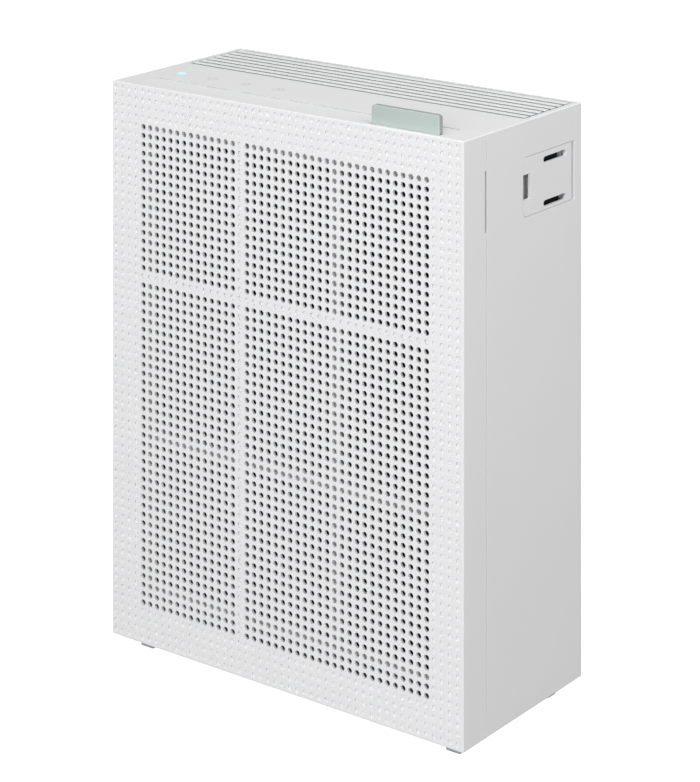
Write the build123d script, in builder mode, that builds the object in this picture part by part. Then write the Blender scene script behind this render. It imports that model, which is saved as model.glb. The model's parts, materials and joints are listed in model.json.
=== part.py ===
"""Free-standing box air purifier.

Millimetres. +X is the viewer's right, the front faces -Y, +Z is up. The origin lies on the floor,
under the middle of the case.
"""

from build123d import *
import math
import os

os.makedirs("parts", exist_ok=True)

# ---------------------------------------------------------------- driving dimensions
BODY_W = 340.0  # case width
BODY_D = 165.0  # case depth
BODY_H = 446.0  # case height, without feet and tab
WALL = 2.4  # moulded wall
CORNER_R = 1.0  # long edges of the case
EDGE_R = 1.0  # rounding of the outer edges
SEAM_DEPTH = 30.7  # front face to the seam of the pull-off cover
SEAM_GAP = 0.4
FIT = 0.4  # clearance between pieces that slide or drop in
GLUE = 0.05  # gap that adhesive or a light press fills

# feet
FOOT_H = 4.5
FOOT_W = 13.0
FOOT_D = 11.0
FOOT_SETBACK = 4.5  # front face to the front feet
FRONT_FOOT_SIDES = (32.5, 12.5)  # left and right side to the middle of the foot near it
REAR_FOOT_SIDES = (32.5, 11.0)
REAR_FOOT_BACK = 36.0  # back face to the rear feet's middle

# front grille
GRILLE_T = 2.4
PITCH = 7.04
HOLE_R = 2.3
FIELD_MARGIN = 4.5  # face edge to the outermost dot centre, at least
BLIND_RING = 4  # outer rows and columns that stay blind

# pre-filter
STRIP_SIDE = 23.0  # case side to the end of its top bar, which is flush with the top
STRIP_GAP = 0.6
STRIP_DROP = 1.2  # the bar's front edge lies this far below the top
STRIP_DROP_BACK = 0.4
STRIP_H = 20.0
PRE_FRONT = 11.1  # front face to the pre-filter's face
PRE_SIDE = 25.5  # case side to its own side
PRE_T = 5.0
PRE_BORDER = 9.0
PRE_RIB = 7.0
PRE_BOTTOM = 40.0
PRE_TOP_BORDER = 34.0  # top face down to the top border's centre line
MESH_T = 0.6

# pull tab
TAB_W = 61.2
TAB_T = 5.6
TAB_RISE = 14.5
TAB_DOWN = 18.0
TAB_CORNER_R = 2.2
TAB_INSET = 2.3  # the tab ends this far short of the bar's end

# filter and bay
FILTER_BOTTOM = 46.0
FILTER_TOP_GAP = 26.5  # filter's top to the case's top face
FILTER_SIDE = 30.4  # case side to the filter's side
FILTER_FRAME_T = 3.0
SEAL_T = 2.8
SEAL_W = 8.0
FILTER_BACK = 53.5  # front face to the filter's back
PLEAT_PITCH = 6.0
PLEAT_Y_T = 6.0  # paper thickness measured along Y
CARBON_T = 1.2
BAY_WALL = 2.4
RAIL_W = 4.4
RAIL_LIP = 4.0
FLANGE_BACK = 38.9  # front face to the bay flange's back

# fan
FAN_Z = 195.0
FAN_R_MOST = 98.0
FAN_SIDE = 72.0  # case side to the fan's rim, at least
FAN_EYE_SHARE = 5 / 7  # of the fan's radius
MOTOR_SHARE = 3 / 7
HUB_SHARE = 0.6226  # how far back the hub's front lies within the fan
FAN_FRONT_GAP = 5.6  # partition to the fan
FAN_BACK_GAP = 22.0  # fan to the scroll's back plate
BLADES = 9
BLADE_T = 2.0
PLATE_T = 2.4
INLET_LIP = 4.0  # the inlet is this much smaller than the fan's eye
SCROLL_WALL = 2.0
SCROLL_BACK = 20.5  # back face to the scroll's back plate
SHAFT_R = 4.0
RUNNING_GAP = 0.05
INSERT_R = 6.0
BOSS_R = 12.0
MOTOR_L = 35.0
BEARING_R = 11.0
BEARING_W = 7.0
STATOR_SHARE = 0.619  # bore of the stator, of the motor's radius
STATOR_SLOTS = 12

# sensor door
DOOR_BACK = 47.8  # back face to the middle of the opening
DOOR_DROP = 50.1  # top face down to the middle of the opening
DOOR_L = 73.4
DOOR_H = 45.4
DOOR_R = 4.5
DOOR_T = 2.2
HINGE_R = 4.8  # rounded hinge edge, about the pin
PIN_R = 1.5
PIN_L = 3.0
SLOT_L = 32.0
SLOT_H = 4.7
SLOT_BACK = 8.1  # the slots' middle lies this far behind the opening's
SLOT_STEP = 33.4
SLOT_DROP = 0.9  # and lies this far below it
FINGER_L = 9.4
FINGER_H = 19.0
TRAY_DEPTH = 15.4
TRAY_WALL = 1.6
TRAY_MARGIN = 4.2

# louvre
LOUVRE_END = 5.0  # case side to the opening
GAP_PITCH = 9.65
GAP = 4.0
LOUVRE_BACK = 3.65  # back face to the opening
GAPS = 8
SLAT_END_GAP = 2.0
SLAT_H = 14.0
SLAT_FOOT_W = 3.0
BEARER_DROP = 4.0
BEARER_T = 2.0
END_STOP_DROP = 1.6  # the stops between the slats' ends lie this far below the top

# light and touch keys
LIGHT_SIDE = 27.5  # left side to the light's middle
LIGHT_SEAM = 23.1  # seam to the light's middle
LIGHT_R = 4.35
KEY_SIDES = (59.7, 94.1, 126.7)
KEY_SEAM = 24.3
BOARD_T = 1.6
CONTROL_BOARD_DROP = 9.0  # top face down to the board's underside

# boards and inlet
MAIN_BOARD = (110.0, 65.0)
MAIN_BOARD_SIDE = 105.0  # right side to the board's middle
MAIN_BOARD_BACK = 45.0
STANDOFF_H = 7.0
INLET_SIDE = 60.0  # left side to the inlet's middle
INLET_Z = 34.0
INLET_W = 30.6
INLET_H = 16.6
INLET_DEPTH = 18.5
SOCKET_W = 17.0
SOCKET_H = 8.0
SOCKET_DEPTH = 14.0
INLET_PIN_R = 1.2
INLET_PIN_STEP = 8.6

# screws
SCREW_R = 1.8
SCREW_L = 18.0
HEAD_R = 3.4
HEAD_H = 2.4
SCREW_BOSS_R = 4.0

# ---------------------------------------------------------------- places worked out from them
FRONT_Y = -BODY_D / 2
BACK_Y = BODY_D / 2
SIDE_X = BODY_W / 2
BOTTOM_Z = FOOT_H
TOP_Z = FOOT_H + BODY_H
MID_Z = FOOT_H + BODY_H / 2
INNER_X = SIDE_X - WALL
INNER_BACK_Y = BACK_Y - WALL
FLOOR_Z = BOTTOM_Z + WALL
CEILING_Z = TOP_Z - WALL

SEAM_Y = FRONT_Y + SEAM_DEPTH
COVER_BACK_Y = SEAM_Y - SEAM_GAP / 2
CASE_FRONT_Y = SEAM_Y + SEAM_GAP / 2
GRILLE_BACK_Y = FRONT_Y + GRILLE_T

FIELD_COLS = math.floor((BODY_W - 2 * FIELD_MARGIN) / PITCH) + 1
FIELD_ROWS = math.floor((BODY_H - 2 * FIELD_MARGIN) / PITCH) + 1
OPEN_COLS = FIELD_COLS - 2 * BLIND_RING
OPEN_ROWS = FIELD_ROWS - 2 * BLIND_RING
GROUP_COLS = OPEN_COLS // 2
GROUP_ROWS = OPEN_ROWS // 2
GROUP_PITCH_X = OPEN_COLS * PITCH / GROUP_COLS
GROUP_PITCH_Z = OPEN_ROWS * PITCH / GROUP_ROWS
GROUP_SIDE = math.sqrt(4 * math.pi) * HOLE_R

STRIP_W = BODY_W - 2 * STRIP_SIDE
PRE_W = BODY_W - 2 * PRE_SIDE
PRE_Y = FRONT_Y + PRE_FRONT
PRE_BACK_Y = PRE_Y + PRE_T
STRIP_BACK_Y = CASE_FRONT_Y - STRIP_GAP
NOTCH_FRONT_Y = PRE_Y - STRIP_GAP
NOTCH_HALF_W = STRIP_W / 2 + STRIP_GAP
TAB_X = STRIP_W / 2 - TAB_INSET - TAB_W / 2
TAB_FRONT_Y = PRE_Y - TAB_T
STRIP_BOTTOM_Z = TOP_Z - STRIP_H

FRONT_FOOT_X = (-SIDE_X + FRONT_FOOT_SIDES[0], SIDE_X - FRONT_FOOT_SIDES[1])
REAR_FOOT_X = (-SIDE_X + REAR_FOOT_SIDES[0], SIDE_X - REAR_FOOT_SIDES[1])
FRONT_FOOT_Y = FRONT_Y + FOOT_SETBACK + FOOT_D / 2
REAR_FOOT_Y = BACK_Y - REAR_FOOT_BACK

FILTER_HALF_W = SIDE_X - FILTER_SIDE
FILTER_TOP_Z = TOP_Z - FILTER_TOP_GAP
FILTER_MID_Z = (FILTER_BOTTOM + FILTER_TOP_Z) / 2
FILTER_FRONT_Y = PRE_BACK_Y + 2.0
FILTER_BACK_Y = FRONT_Y + FILTER_BACK
PARTITION_Y = FILTER_BACK_Y + SEAL_T + 0.2
PARTITION_BACK_Y = PARTITION_Y + BAY_WALL
BAY_HALF_W = FILTER_HALF_W + 1.0
BAY_BOTTOM_Z = FILTER_BOTTOM - 1.0
BAY_FRONT_Y = FILTER_FRONT_Y - 1.0
RAIL_X = PRE_W / 2 + STRIP_GAP
RAIL_OUTER_X = RAIL_X + RAIL_W
RAIL_TOP_Z = STRIP_BOTTOM_Z - 2.0
SHELF_Z = PRE_BOTTOM - FIT
FLANGE_BACK_Y = FRONT_Y + FLANGE_BACK
FLANGE_Y = FLANGE_BACK_Y - BAY_WALL

SCROLL_BACK_Y = BACK_Y - SCROLL_BACK
FAN_R = min(FAN_R_MOST, SIDE_X - FAN_SIDE)
FAN_EYE_R = FAN_R * FAN_EYE_SHARE
INLET_R = FAN_EYE_R - INLET_LIP
FAN_FRONT = PARTITION_BACK_Y + FAN_FRONT_GAP
FAN_BACK = SCROLL_BACK_Y - FAN_BACK_GAP
MOTOR_R = FAN_R * MOTOR_SHARE
STATOR_R = MOTOR_R * STATOR_SHARE
MOTOR_FRONT = SCROLL_BACK_Y - MOTOR_L
MOTOR_BACK_Y = SCROLL_BACK_Y
MOTOR_FLANGE_T = 2.0
MOTOR_FLANGE_R = MOTOR_R + 8.0
MOTOR_SCREW_R = MOTOR_R + 4.0

DOOR_Y = BACK_Y - DOOR_BACK
SLOT_Y = DOOR_Y + SLOT_BACK
DOOR_MID_Z = TOP_Z - DOOR_DROP
DOOR_REAR_Y = DOOR_Y + DOOR_L / 2 - FIT
DOOR_FRONT_Y = DOOR_Y - DOOR_L / 2 + FIT
HINGE_X = SIDE_X - HINGE_R
HINGE_Y = DOOR_REAR_Y - HINGE_R
DOOR_LEAF_H = DOOR_H - 2 * FIT
TRAY_X = INNER_X - 0.2

LOUVRE_BACK_Y = BACK_Y - LOUVRE_BACK
FIRST_GAP = LOUVRE_BACK_Y - GAP / 2 - (GAPS - 1) * GAP_PITCH
LOUVRE_FRONT_Y = FIRST_GAP - GAP / 2
LOUVRE_HALF_W = SIDE_X - LOUVRE_END
SLAT_HALF_W = LOUVRE_HALF_W - SLAT_END_GAP
SLAT_W = GAP_PITCH - GAP

LIGHT_X = -SIDE_X + LIGHT_SIDE
LIGHT_Y = SEAM_Y + LIGHT_SEAM
KEY_X = [-SIDE_X + side for side in KEY_SIDES]
KEY_Y = SEAM_Y + KEY_SEAM
CONTROL_BOARD_Z = TOP_Z - CONTROL_BOARD_DROP
MAIN_BOARD_Z = FLOOR_Z + STANDOFF_H
MAIN_BOARD_AT = (SIDE_X - MAIN_BOARD_SIDE, BACK_Y - MAIN_BOARD_BACK)
INLET_X = -SIDE_X + INLET_SIDE

TRAY_FRONT_Y = DOOR_Y - DOOR_L / 2 - TRAY_MARGIN
BAY_SCREW_L = min(SCREW_L, TRAY_FRONT_Y - FLANGE_BACK_Y - 2.0)
BAY_SCREW_X = INNER_X - SCREW_BOSS_R - 3.6
BAY_SCREW_Z = [BOTTOM_Z + BODY_H * share for share in (0.11, 0.36, 0.64, 0.92)]
SCROLL_SCREW_X = FILTER_HALF_W - 9.0
SCROLL_SCREW_Z = [FAN_Z - FAN_R - 8.0, TOP_Z - 72.0]


def front_plane(y):
    """Plane at this y that looks towards the viewer; its sketches are in X and Z."""
    return Plane(origin=(0, y, 0), x_dir=(1, 0, 0), z_dir=(0, -1, 0))


def side_plane(x):
    """Plane at this x that looks to the right; its sketches are in Y and Z."""
    return Plane(origin=(x, 0, 0), x_dir=(0, 1, 0), z_dir=(1, 0, 0))


def level_plane(z):
    """Level plane at this height; its sketches are in X and Y."""
    return Plane.XY.offset(z)


def save(piece, name):
    """Label a finished piece and write its STEP file."""
    piece.part.label = name
    export_step(piece.part, f"parts/{name}.step")


def door_outline(length, height, radius):
    """Draw the sensor door's outline: rounded at its free end, square at its hinge."""
    with Locations((DOOR_Y, DOOR_MID_Z)):
        RectangleRounded(length, height, radius)
    with Locations((DOOR_Y + length / 4, DOOR_MID_Z)):
        Rectangle(length / 2, height)


def block(x, y, z, mode=Mode.ADD):
    """Add or cut a block given as its low and high x, y and z."""
    middle = [(low + high) / 2 for low, high in (x, y, z)]
    with Locations(tuple(middle)):
        Box(x[1] - x[0], y[1] - y[0], z[1] - z[0], mode=mode)


# ================================================================ front cover
# ---------------------------------------------------------------- front grille
# Each square opening here stands for a group of four small round holes of the real face,
# with the same open area.
with BuildPart() as front_grille:
    with BuildSketch(front_plane(GRILLE_BACK_Y)):
        with Locations((0, MID_Z)):
            RectangleRounded(BODY_W, BODY_H, CORNER_R)
            with GridLocations(GROUP_PITCH_X, GROUP_PITCH_Z, GROUP_COLS, GROUP_ROWS):
                Rectangle(GROUP_SIDE, GROUP_SIDE, mode=Mode.SUBTRACT)
    extrude(amount=GRILLE_T, clean=False)
save(front_grille, "front_grille")

# ---------------------------------------------------------------- cover frame
NOTCH_Z = (DOOR_MID_Z - DOOR_H / 2, DOOR_MID_Z + DOOR_H / 2)
FINGER_STEP = 2.0
TONGUE_L = 24.0
TONGUE_T = 2.4
TONGUE_BACK_Y = FLANGE_Y - 1.0

with BuildPart() as cover_frame:
    with BuildSketch(front_plane(COVER_BACK_Y)):
        with Locations((0, MID_Z)):
            RectangleRounded(BODY_W, BODY_H, CORNER_R)
            Rectangle(BODY_W - 2 * WALL, BODY_H - 2 * WALL, mode=Mode.SUBTRACT)
    extrude(amount=COVER_BACK_Y - GRILLE_BACK_Y)
    # the top wall is open behind the front lip, for the pre-filter's bar and its tab
    block(
        (-NOTCH_HALF_W, NOTCH_HALF_W),
        (NOTCH_FRONT_Y, COVER_BACK_Y + 1),
        (CEILING_Z - 1, TOP_Z + 1),
        mode=Mode.SUBTRACT,
    )
    block(
        (TAB_X - TAB_W / 2 - STRIP_GAP, TAB_X + TAB_W / 2 + STRIP_GAP),
        (TAB_FRONT_Y - STRIP_GAP, NOTCH_FRONT_Y + 1),
        (CEILING_Z - 1, TOP_Z + 1),
        mode=Mode.SUBTRACT,
    )
    # the bottom wall is open around the two front feet
    for foot_x in FRONT_FOOT_X:
        block(
            (foot_x - FOOT_W / 2 - STRIP_GAP, foot_x + FOOT_W / 2 + STRIP_GAP),
            (FRONT_FOOT_Y - FOOT_D / 2 - STRIP_GAP, COVER_BACK_Y + 1),
            (BOTTOM_Z - 1, FLOOR_Z + 1),
            mode=Mode.SUBTRACT,
        )
    for side in (-1, 1):
        # finger notch: the rear edge steps forward
        block(
            sorted((side * (INNER_X - 1), side * (SIDE_X + 1))),
            (COVER_BACK_Y - FINGER_STEP, COVER_BACK_Y + 1),
            NOTCH_Z,
            mode=Mode.SUBTRACT,
        )
        # locating tongues that slip inside the case
        for tongue_z in (MID_Z - BODY_H * 0.3, MID_Z + BODY_H * 0.16):
            tongue_zs = (tongue_z - TONGUE_L / 2, tongue_z + TONGUE_L / 2)
            inner = INNER_X - FIT - TONGUE_T
            block(
                sorted((side * inner, side * (INNER_X - FIT))),
                (COVER_BACK_Y - 8, TONGUE_BACK_Y),
                tongue_zs,
            )
            block(
                sorted((side * inner, side * (INNER_X + 0.5))),
                (COVER_BACK_Y - 8, COVER_BACK_Y - 2.5),
                tongue_zs,
            )
save(cover_frame, "cover_frame")

# ================================================================ pre-filter
PRE_HALF_W = PRE_W / 2
pre_top_rib_z = TOP_Z - PRE_TOP_BORDER
pre_bottom_rib_z = PRE_BOTTOM + PRE_BORDER / 2
PRE_WINDOWS = 3
rib_step_x = (PRE_W - PRE_BORDER) / PRE_WINDOWS
rib_step_z = (pre_top_rib_z - pre_bottom_rib_z) / PRE_WINDOWS

with BuildPart() as prefilter_frame:
    with BuildSketch(front_plane(PRE_BACK_Y)):
        with Locations((0, (PRE_BOTTOM + STRIP_BOTTOM_Z + 1) / 2)):
            Rectangle(PRE_W, STRIP_BOTTOM_Z + 1 - PRE_BOTTOM)
        with Locations((0, (pre_bottom_rib_z + pre_top_rib_z) / 2)):
            with GridLocations(rib_step_x, rib_step_z, PRE_WINDOWS, PRE_WINDOWS):
                Rectangle(rib_step_x - PRE_RIB, rib_step_z - PRE_RIB, mode=Mode.SUBTRACT)
    extrude(amount=PRE_T)
    # top bar: a hollow beam whose top face leans gently forward
    with BuildSketch(side_plane(-STRIP_W / 2)):
        with BuildLine():
            Polyline(
                (PRE_Y, STRIP_BOTTOM_Z),
                (STRIP_BACK_Y, STRIP_BOTTOM_Z),
                (STRIP_BACK_Y, TOP_Z - STRIP_DROP_BACK),
                (PRE_Y, TOP_Z - STRIP_DROP),
                close=True,
            )
        make_face()
    extrude(amount=STRIP_W)
    block(
        (-STRIP_W / 2 + WALL, STRIP_W / 2 - WALL),
        (PRE_BACK_Y, STRIP_BACK_Y - WALL),
        (STRIP_BOTTOM_Z - 1, TOP_Z - STRIP_DROP - WALL),
        mode=Mode.SUBTRACT,
    )
save(prefilter_frame, "prefilter_frame")

with BuildPart() as prefilter_mesh:
    mesh_z = (PRE_BOTTOM + 1, pre_top_rib_z + PRE_BORDER / 2)
    block((-PRE_HALF_W + 1.5, PRE_HALF_W - 1.5), (PRE_BACK_Y, PRE_BACK_Y + MESH_T), mesh_z)
save(prefilter_mesh, "prefilter_mesh")

with BuildPart() as prefilter_tab:
    tab_bottom_z = TOP_Z - TAB_DOWN
    tab_top_z = TOP_Z + TAB_RISE
    with BuildSketch(front_plane(PRE_Y)):
        with Locations((TAB_X, (tab_bottom_z + tab_top_z) / 2)):
            RectangleRounded(TAB_W, tab_top_z - tab_bottom_z, TAB_CORNER_R)
    extrude(amount=TAB_T)
    fillet(prefilter_tab.faces().sort_by(Axis.Y)[0].edges(), 0.8)
save(prefilter_tab, "prefilter_tab")

# ================================================================ filter and bay
FILTER_H = FILTER_TOP_Z - FILTER_BOTTOM
INSIDE_HALF_W = FILTER_HALF_W - FILTER_FRAME_T
INSIDE_Z = (FILTER_BOTTOM + FILTER_FRAME_T, FILTER_TOP_Z - FILTER_FRAME_T)

with BuildPart() as filter_frame:
    with BuildSketch(front_plane(FILTER_BACK_Y)):
        with Locations((0, FILTER_MID_Z)):
            Rectangle(2 * FILTER_HALF_W, FILTER_H)
            Rectangle(2 * INSIDE_HALF_W, INSIDE_Z[1] - INSIDE_Z[0], mode=Mode.SUBTRACT)
    extrude(amount=FILTER_BACK_Y - FILTER_FRONT_Y)
save(filter_frame, "filter_frame")

with BuildPart() as carbon_sheet:
    block(
        (-INSIDE_HALF_W + GLUE, INSIDE_HALF_W - GLUE),
        (FILTER_FRONT_Y + 0.4, FILTER_FRONT_Y + 0.4 + CARBON_T),
        (INSIDE_Z[0] + GLUE, INSIDE_Z[1] - GLUE),
    )
save(carbon_sheet, "carbon_sheet")

pleat_front_y = FILTER_FRONT_Y + 0.4 + CARBON_T + 0.4
pleat_back_y = FILTER_BACK_Y - 1.0
pleat_count = math.floor(2 * (INSIDE_HALF_W - GLUE) / PLEAT_PITCH)
folds = [
    ((i - pleat_count) * PLEAT_PITCH / 2, pleat_back_y - PLEAT_Y_T if i % 2 else pleat_front_y)
    for i in range(2 * pleat_count + 1)
]
with BuildPart() as filter_media:
    with BuildSketch(level_plane(INSIDE_Z[0] + GLUE)):
        with BuildLine():
            Polyline(folds + [(x, y + PLEAT_Y_T) for x, y in reversed(folds)], close=True)
        make_face()
    extrude(amount=INSIDE_Z[1] - INSIDE_Z[0] - 2 * GLUE)
save(filter_media, "filter_media")

with BuildPart() as filter_seal:
    with BuildSketch(front_plane(FILTER_BACK_Y + SEAL_T)):
        with Locations((0, FILTER_MID_Z)):
            Rectangle(2 * FILTER_HALF_W, FILTER_H)
            Rectangle(2 * (FILTER_HALF_W - SEAL_W), FILTER_H - 2 * SEAL_W, mode=Mode.SUBTRACT)
    extrude(amount=SEAL_T)
save(filter_seal, "filter_seal")

STRAP_W = 24.0
STRAP_T = 0.8
STRAP_LOOP = 55.0
with BuildPart() as filter_strap:
    strap_z = (FILTER_BOTTOM + 0.5, FILTER_BOTTOM + STRAP_LOOP)
    block((-STRAP_W / 2, STRAP_W / 2), (FILTER_FRONT_Y - STRAP_T, FILTER_FRONT_Y), strap_z)
save(filter_strap, "filter_strap")

SILL_T = 2.4
FOOT_BLOCK_H = 13.5
with BuildPart() as filter_bay:
    # four walls around the filter
    with BuildSketch(front_plane(PARTITION_BACK_Y)):
        with Locations((0, FILTER_MID_Z)):
            Rectangle(2 * (BAY_HALF_W + BAY_WALL), FILTER_H + 2 + 2 * BAY_WALL)
            Rectangle(2 * BAY_HALF_W, FILTER_H + 2, mode=Mode.SUBTRACT)
    extrude(amount=PARTITION_BACK_Y - BAY_FRONT_Y)
    # partition with the fan's inlet
    with BuildSketch(front_plane(PARTITION_BACK_Y)):
        with Locations((0, FILTER_MID_Z)):
            Rectangle(2 * BAY_HALF_W, FILTER_H + 2)
        with Locations((0, FAN_Z)):
            Circle(INLET_R + 4 * GLUE, mode=Mode.SUBTRACT)
    extrude(amount=BAY_WALL)
    # flange that closes the case's mouth
    with BuildSketch(front_plane(FLANGE_BACK_Y)):
        with Locations((0, MID_Z)):
            Rectangle(2 * (INNER_X - FIT), CEILING_Z - FLOOR_Z - 2 * FIT)
        with Locations((0, FILTER_MID_Z)):
            Rectangle(2 * BAY_HALF_W, FILTER_H + 2, mode=Mode.SUBTRACT)
        with Locations([(side * BAY_SCREW_X, z) for side in (-1, 1) for z in BAY_SCREW_Z]):
            Circle(SCREW_R + 0.3, mode=Mode.SUBTRACT)
    extrude(amount=BAY_WALL)
    # rails for the pre-filter, with a lip in front of it
    for side in (-1, 1):
        block(
            sorted((side * RAIL_X, side * RAIL_OUTER_X)),
            (PRE_Y - FIT - BAY_WALL, BAY_FRONT_Y + BAY_WALL),
            (SHELF_Z - BAY_WALL, RAIL_TOP_Z),
        )
        block(
            sorted((side * BAY_HALF_W, side * RAIL_OUTER_X)),
            (BAY_FRONT_Y, BAY_FRONT_Y + BAY_WALL),
            (SHELF_Z - BAY_WALL, RAIL_TOP_Z),
        )
        block(
            sorted((side * (RAIL_X - RAIL_LIP), side * RAIL_OUTER_X)),
            (PRE_Y - FIT - BAY_WALL, PRE_Y - FIT),
            (SHELF_Z - BAY_WALL, RAIL_TOP_Z),
        )
    # shelf under the pre-filter, and the sill below it down to the floor of the cover
    block(
        (-RAIL_OUTER_X, RAIL_OUTER_X),
        (PRE_Y - FIT - BAY_WALL, BAY_FRONT_Y + BAY_WALL),
        (SHELF_Z - BAY_WALL, SHELF_Z),
    )
    sill_half_w = INNER_X - FIT
    block(
        (-sill_half_w, sill_half_w),
        (BAY_FRONT_Y, BAY_FRONT_Y + SILL_T),
        (FLOOR_Z + FIT, SHELF_Z),
    )
    block(
        (-sill_half_w, sill_half_w),
        (BAY_FRONT_Y, FLANGE_BACK_Y),
        (SHELF_Z - BAY_WALL, BAY_BOTTOM_Z),
    )
    # blocks that carry the two front feet
    for foot_x in FRONT_FOOT_X:
        block(
            (foot_x - FOOT_W / 2, foot_x + FOOT_W / 2),
            (FRONT_FOOT_Y - FOOT_D / 2, BAY_FRONT_Y + SILL_T),
            (BOTTOM_Z, BOTTOM_Z + FOOT_BLOCK_H),
        )
save(filter_bay, "filter_bay")

GUARD_RINGS = (INLET_R / 3, INLET_R * 2 / 3)
GUARD_BAR = 2.4
GUARD_SPOKES = 6
with BuildPart() as inlet_guard:
    guard_back_y = PARTITION_BACK_Y
    with BuildSketch(front_plane(guard_back_y)):
        with Locations((0, FAN_Z)):
            Circle(INLET_R)
            Circle(INLET_R - GUARD_BAR, mode=Mode.SUBTRACT)
            for ring_r in GUARD_RINGS:
                with BuildSketch(mode=Mode.PRIVATE) as ring:
                    Circle(ring_r)
                    Circle(ring_r - GUARD_BAR, mode=Mode.SUBTRACT)
                add(ring.sketch)
            with PolarLocations(INLET_R / 2, GUARD_SPOKES):
                Rectangle(INLET_R - 2, GUARD_BAR)
            Circle(GUARD_BAR * 2)
    extrude(amount=BAY_WALL)
    with BuildSketch(front_plane(guard_back_y + 2.0)):
        with Locations((0, FAN_Z)):
            Circle(INLET_R + 5)
            Circle(INLET_R - GUARD_BAR, mode=Mode.SUBTRACT)
    extrude(amount=2.0)
save(inlet_guard, "inlet_guard")

# ================================================================ fan and motor
FAN_AXIS = Axis((0, 0, FAN_Z), (0, 1, 0))
FAN_SECTION = level_plane(FAN_Z)  # half sections: X is the radius, Y runs along the axis
cone_r = MOTOR_R + 4.0
hub_back_y = MOTOR_FRONT - 2.6
hub_front_y = FAN_FRONT + (hub_back_y - FAN_FRONT) * HUB_SHARE
shaft_front_y = hub_front_y - 8.0
shaft_back_y = MOTOR_BACK_Y - 4.0
bearing_front_y = MOTOR_FRONT + 1.0
bearing_back_y = MOTOR_BACK_Y - 11.0
stator_y = (bearing_front_y + BEARING_W + 1.5, bearing_back_y - 1.5)


def ring(low_r, high_r, low_y, high_y, mode=Mode.ADD):
    """Add or cut a ring about the fan's axis."""
    with BuildSketch(front_plane(high_y)) as outline:
        with Locations((0, FAN_Z)):
            Circle(high_r)
            if low_r > 0:
                Circle(low_r, mode=Mode.SUBTRACT)
    extrude(outline.sketch, amount=high_y - low_y, mode=mode)


with BuildPart() as impeller:
    # hub, cone over the motor and back plate in one half section
    with BuildSketch(FAN_SECTION):
        with BuildLine():
            Polyline(
                (INSERT_R + 0.02, hub_front_y),
                (BOSS_R, hub_front_y),
                (BOSS_R, hub_back_y - PLATE_T),
                (cone_r + PLATE_T, hub_back_y - PLATE_T),
                (cone_r + PLATE_T, FAN_BACK - PLATE_T),
                (FAN_R, FAN_BACK - PLATE_T),
                (FAN_R, FAN_BACK),
                (cone_r, FAN_BACK),
                (cone_r, hub_back_y),
                (INSERT_R + 0.02, hub_back_y),
                close=True,
            )
        make_face()
    revolve(axis=FAN_AXIS)
    ring(FAN_EYE_R, FAN_R, FAN_FRONT, FAN_FRONT + PLATE_T)
    # blades, swept back from the turning direction
    blade_r = (FAN_EYE_R - 8.0, (FAN_EYE_R + FAN_R) / 2 - 4.0, FAN_R - 2.0)
    blade_angle = (0.0, 0.16, 0.42)
    blade_line = ThreePointArc(
        *[(r * math.cos(a), r * math.sin(a)) for r, a in zip(blade_r, blade_angle)],
        mode=Mode.PRIVATE,
    )
    with BuildSketch(front_plane(FAN_BACK - PLATE_T / 2)):
        with Locations((0, FAN_Z)):
            with PolarLocations(0, BLADES):
                SlotArc(blade_line, BLADE_T)
    extrude(amount=FAN_BACK - FAN_FRONT - PLATE_T)
save(impeller, "impeller")

with BuildPart() as hub_insert:
    ring(SHAFT_R + 0.02, INSERT_R, hub_front_y, hub_back_y)
save(hub_insert, "hub_insert")

NUT_H = 5.0
NUT_R = 6.0
with BuildPart() as hub_nut:
    with BuildSketch(front_plane(hub_front_y)):
        with Locations((0, FAN_Z)):
            RegularPolygon(NUT_R, 6)
            Circle(SHAFT_R + 0.02, mode=Mode.SUBTRACT)
    extrude(amount=NUT_H)
save(hub_nut, "hub_nut")

with BuildPart() as motor_shaft:
    ring(0, SHAFT_R, shaft_front_y, shaft_back_y)
    chamfer(motor_shaft.edges().filter_by(GeomType.CIRCLE), 0.6)
save(motor_shaft, "motor_shaft")

with BuildPart() as motor_rotor:
    ring(SHAFT_R + 0.02, STATOR_R - 0.6, stator_y[0], stator_y[1])
save(motor_rotor, "motor_rotor")

SLOT_DEEP = 8.0
SLOT_WIDE = 4.0
with BuildPart() as motor_stator:
    with BuildSketch(front_plane(stator_y[1])):
        with Locations((0, FAN_Z)):
            Circle(MOTOR_R - WALL - GLUE)
            Circle(STATOR_R, mode=Mode.SUBTRACT)
            with PolarLocations(STATOR_R + SLOT_DEEP / 2, STATOR_SLOTS):
                Rectangle(SLOT_DEEP + 1, SLOT_WIDE, mode=Mode.SUBTRACT)
    extrude(amount=stator_y[1] - stator_y[0])
save(motor_stator, "motor_stator")

BEARING_SEAT_T = 2.5
for name, low_y in (("bearing_front", bearing_front_y), ("bearing_rear", bearing_back_y)):
    with BuildPart() as bearing:
        ring(SHAFT_R + RUNNING_GAP, BEARING_R - 0.02, low_y, low_y + BEARING_W)
    save(bearing, name)

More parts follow.
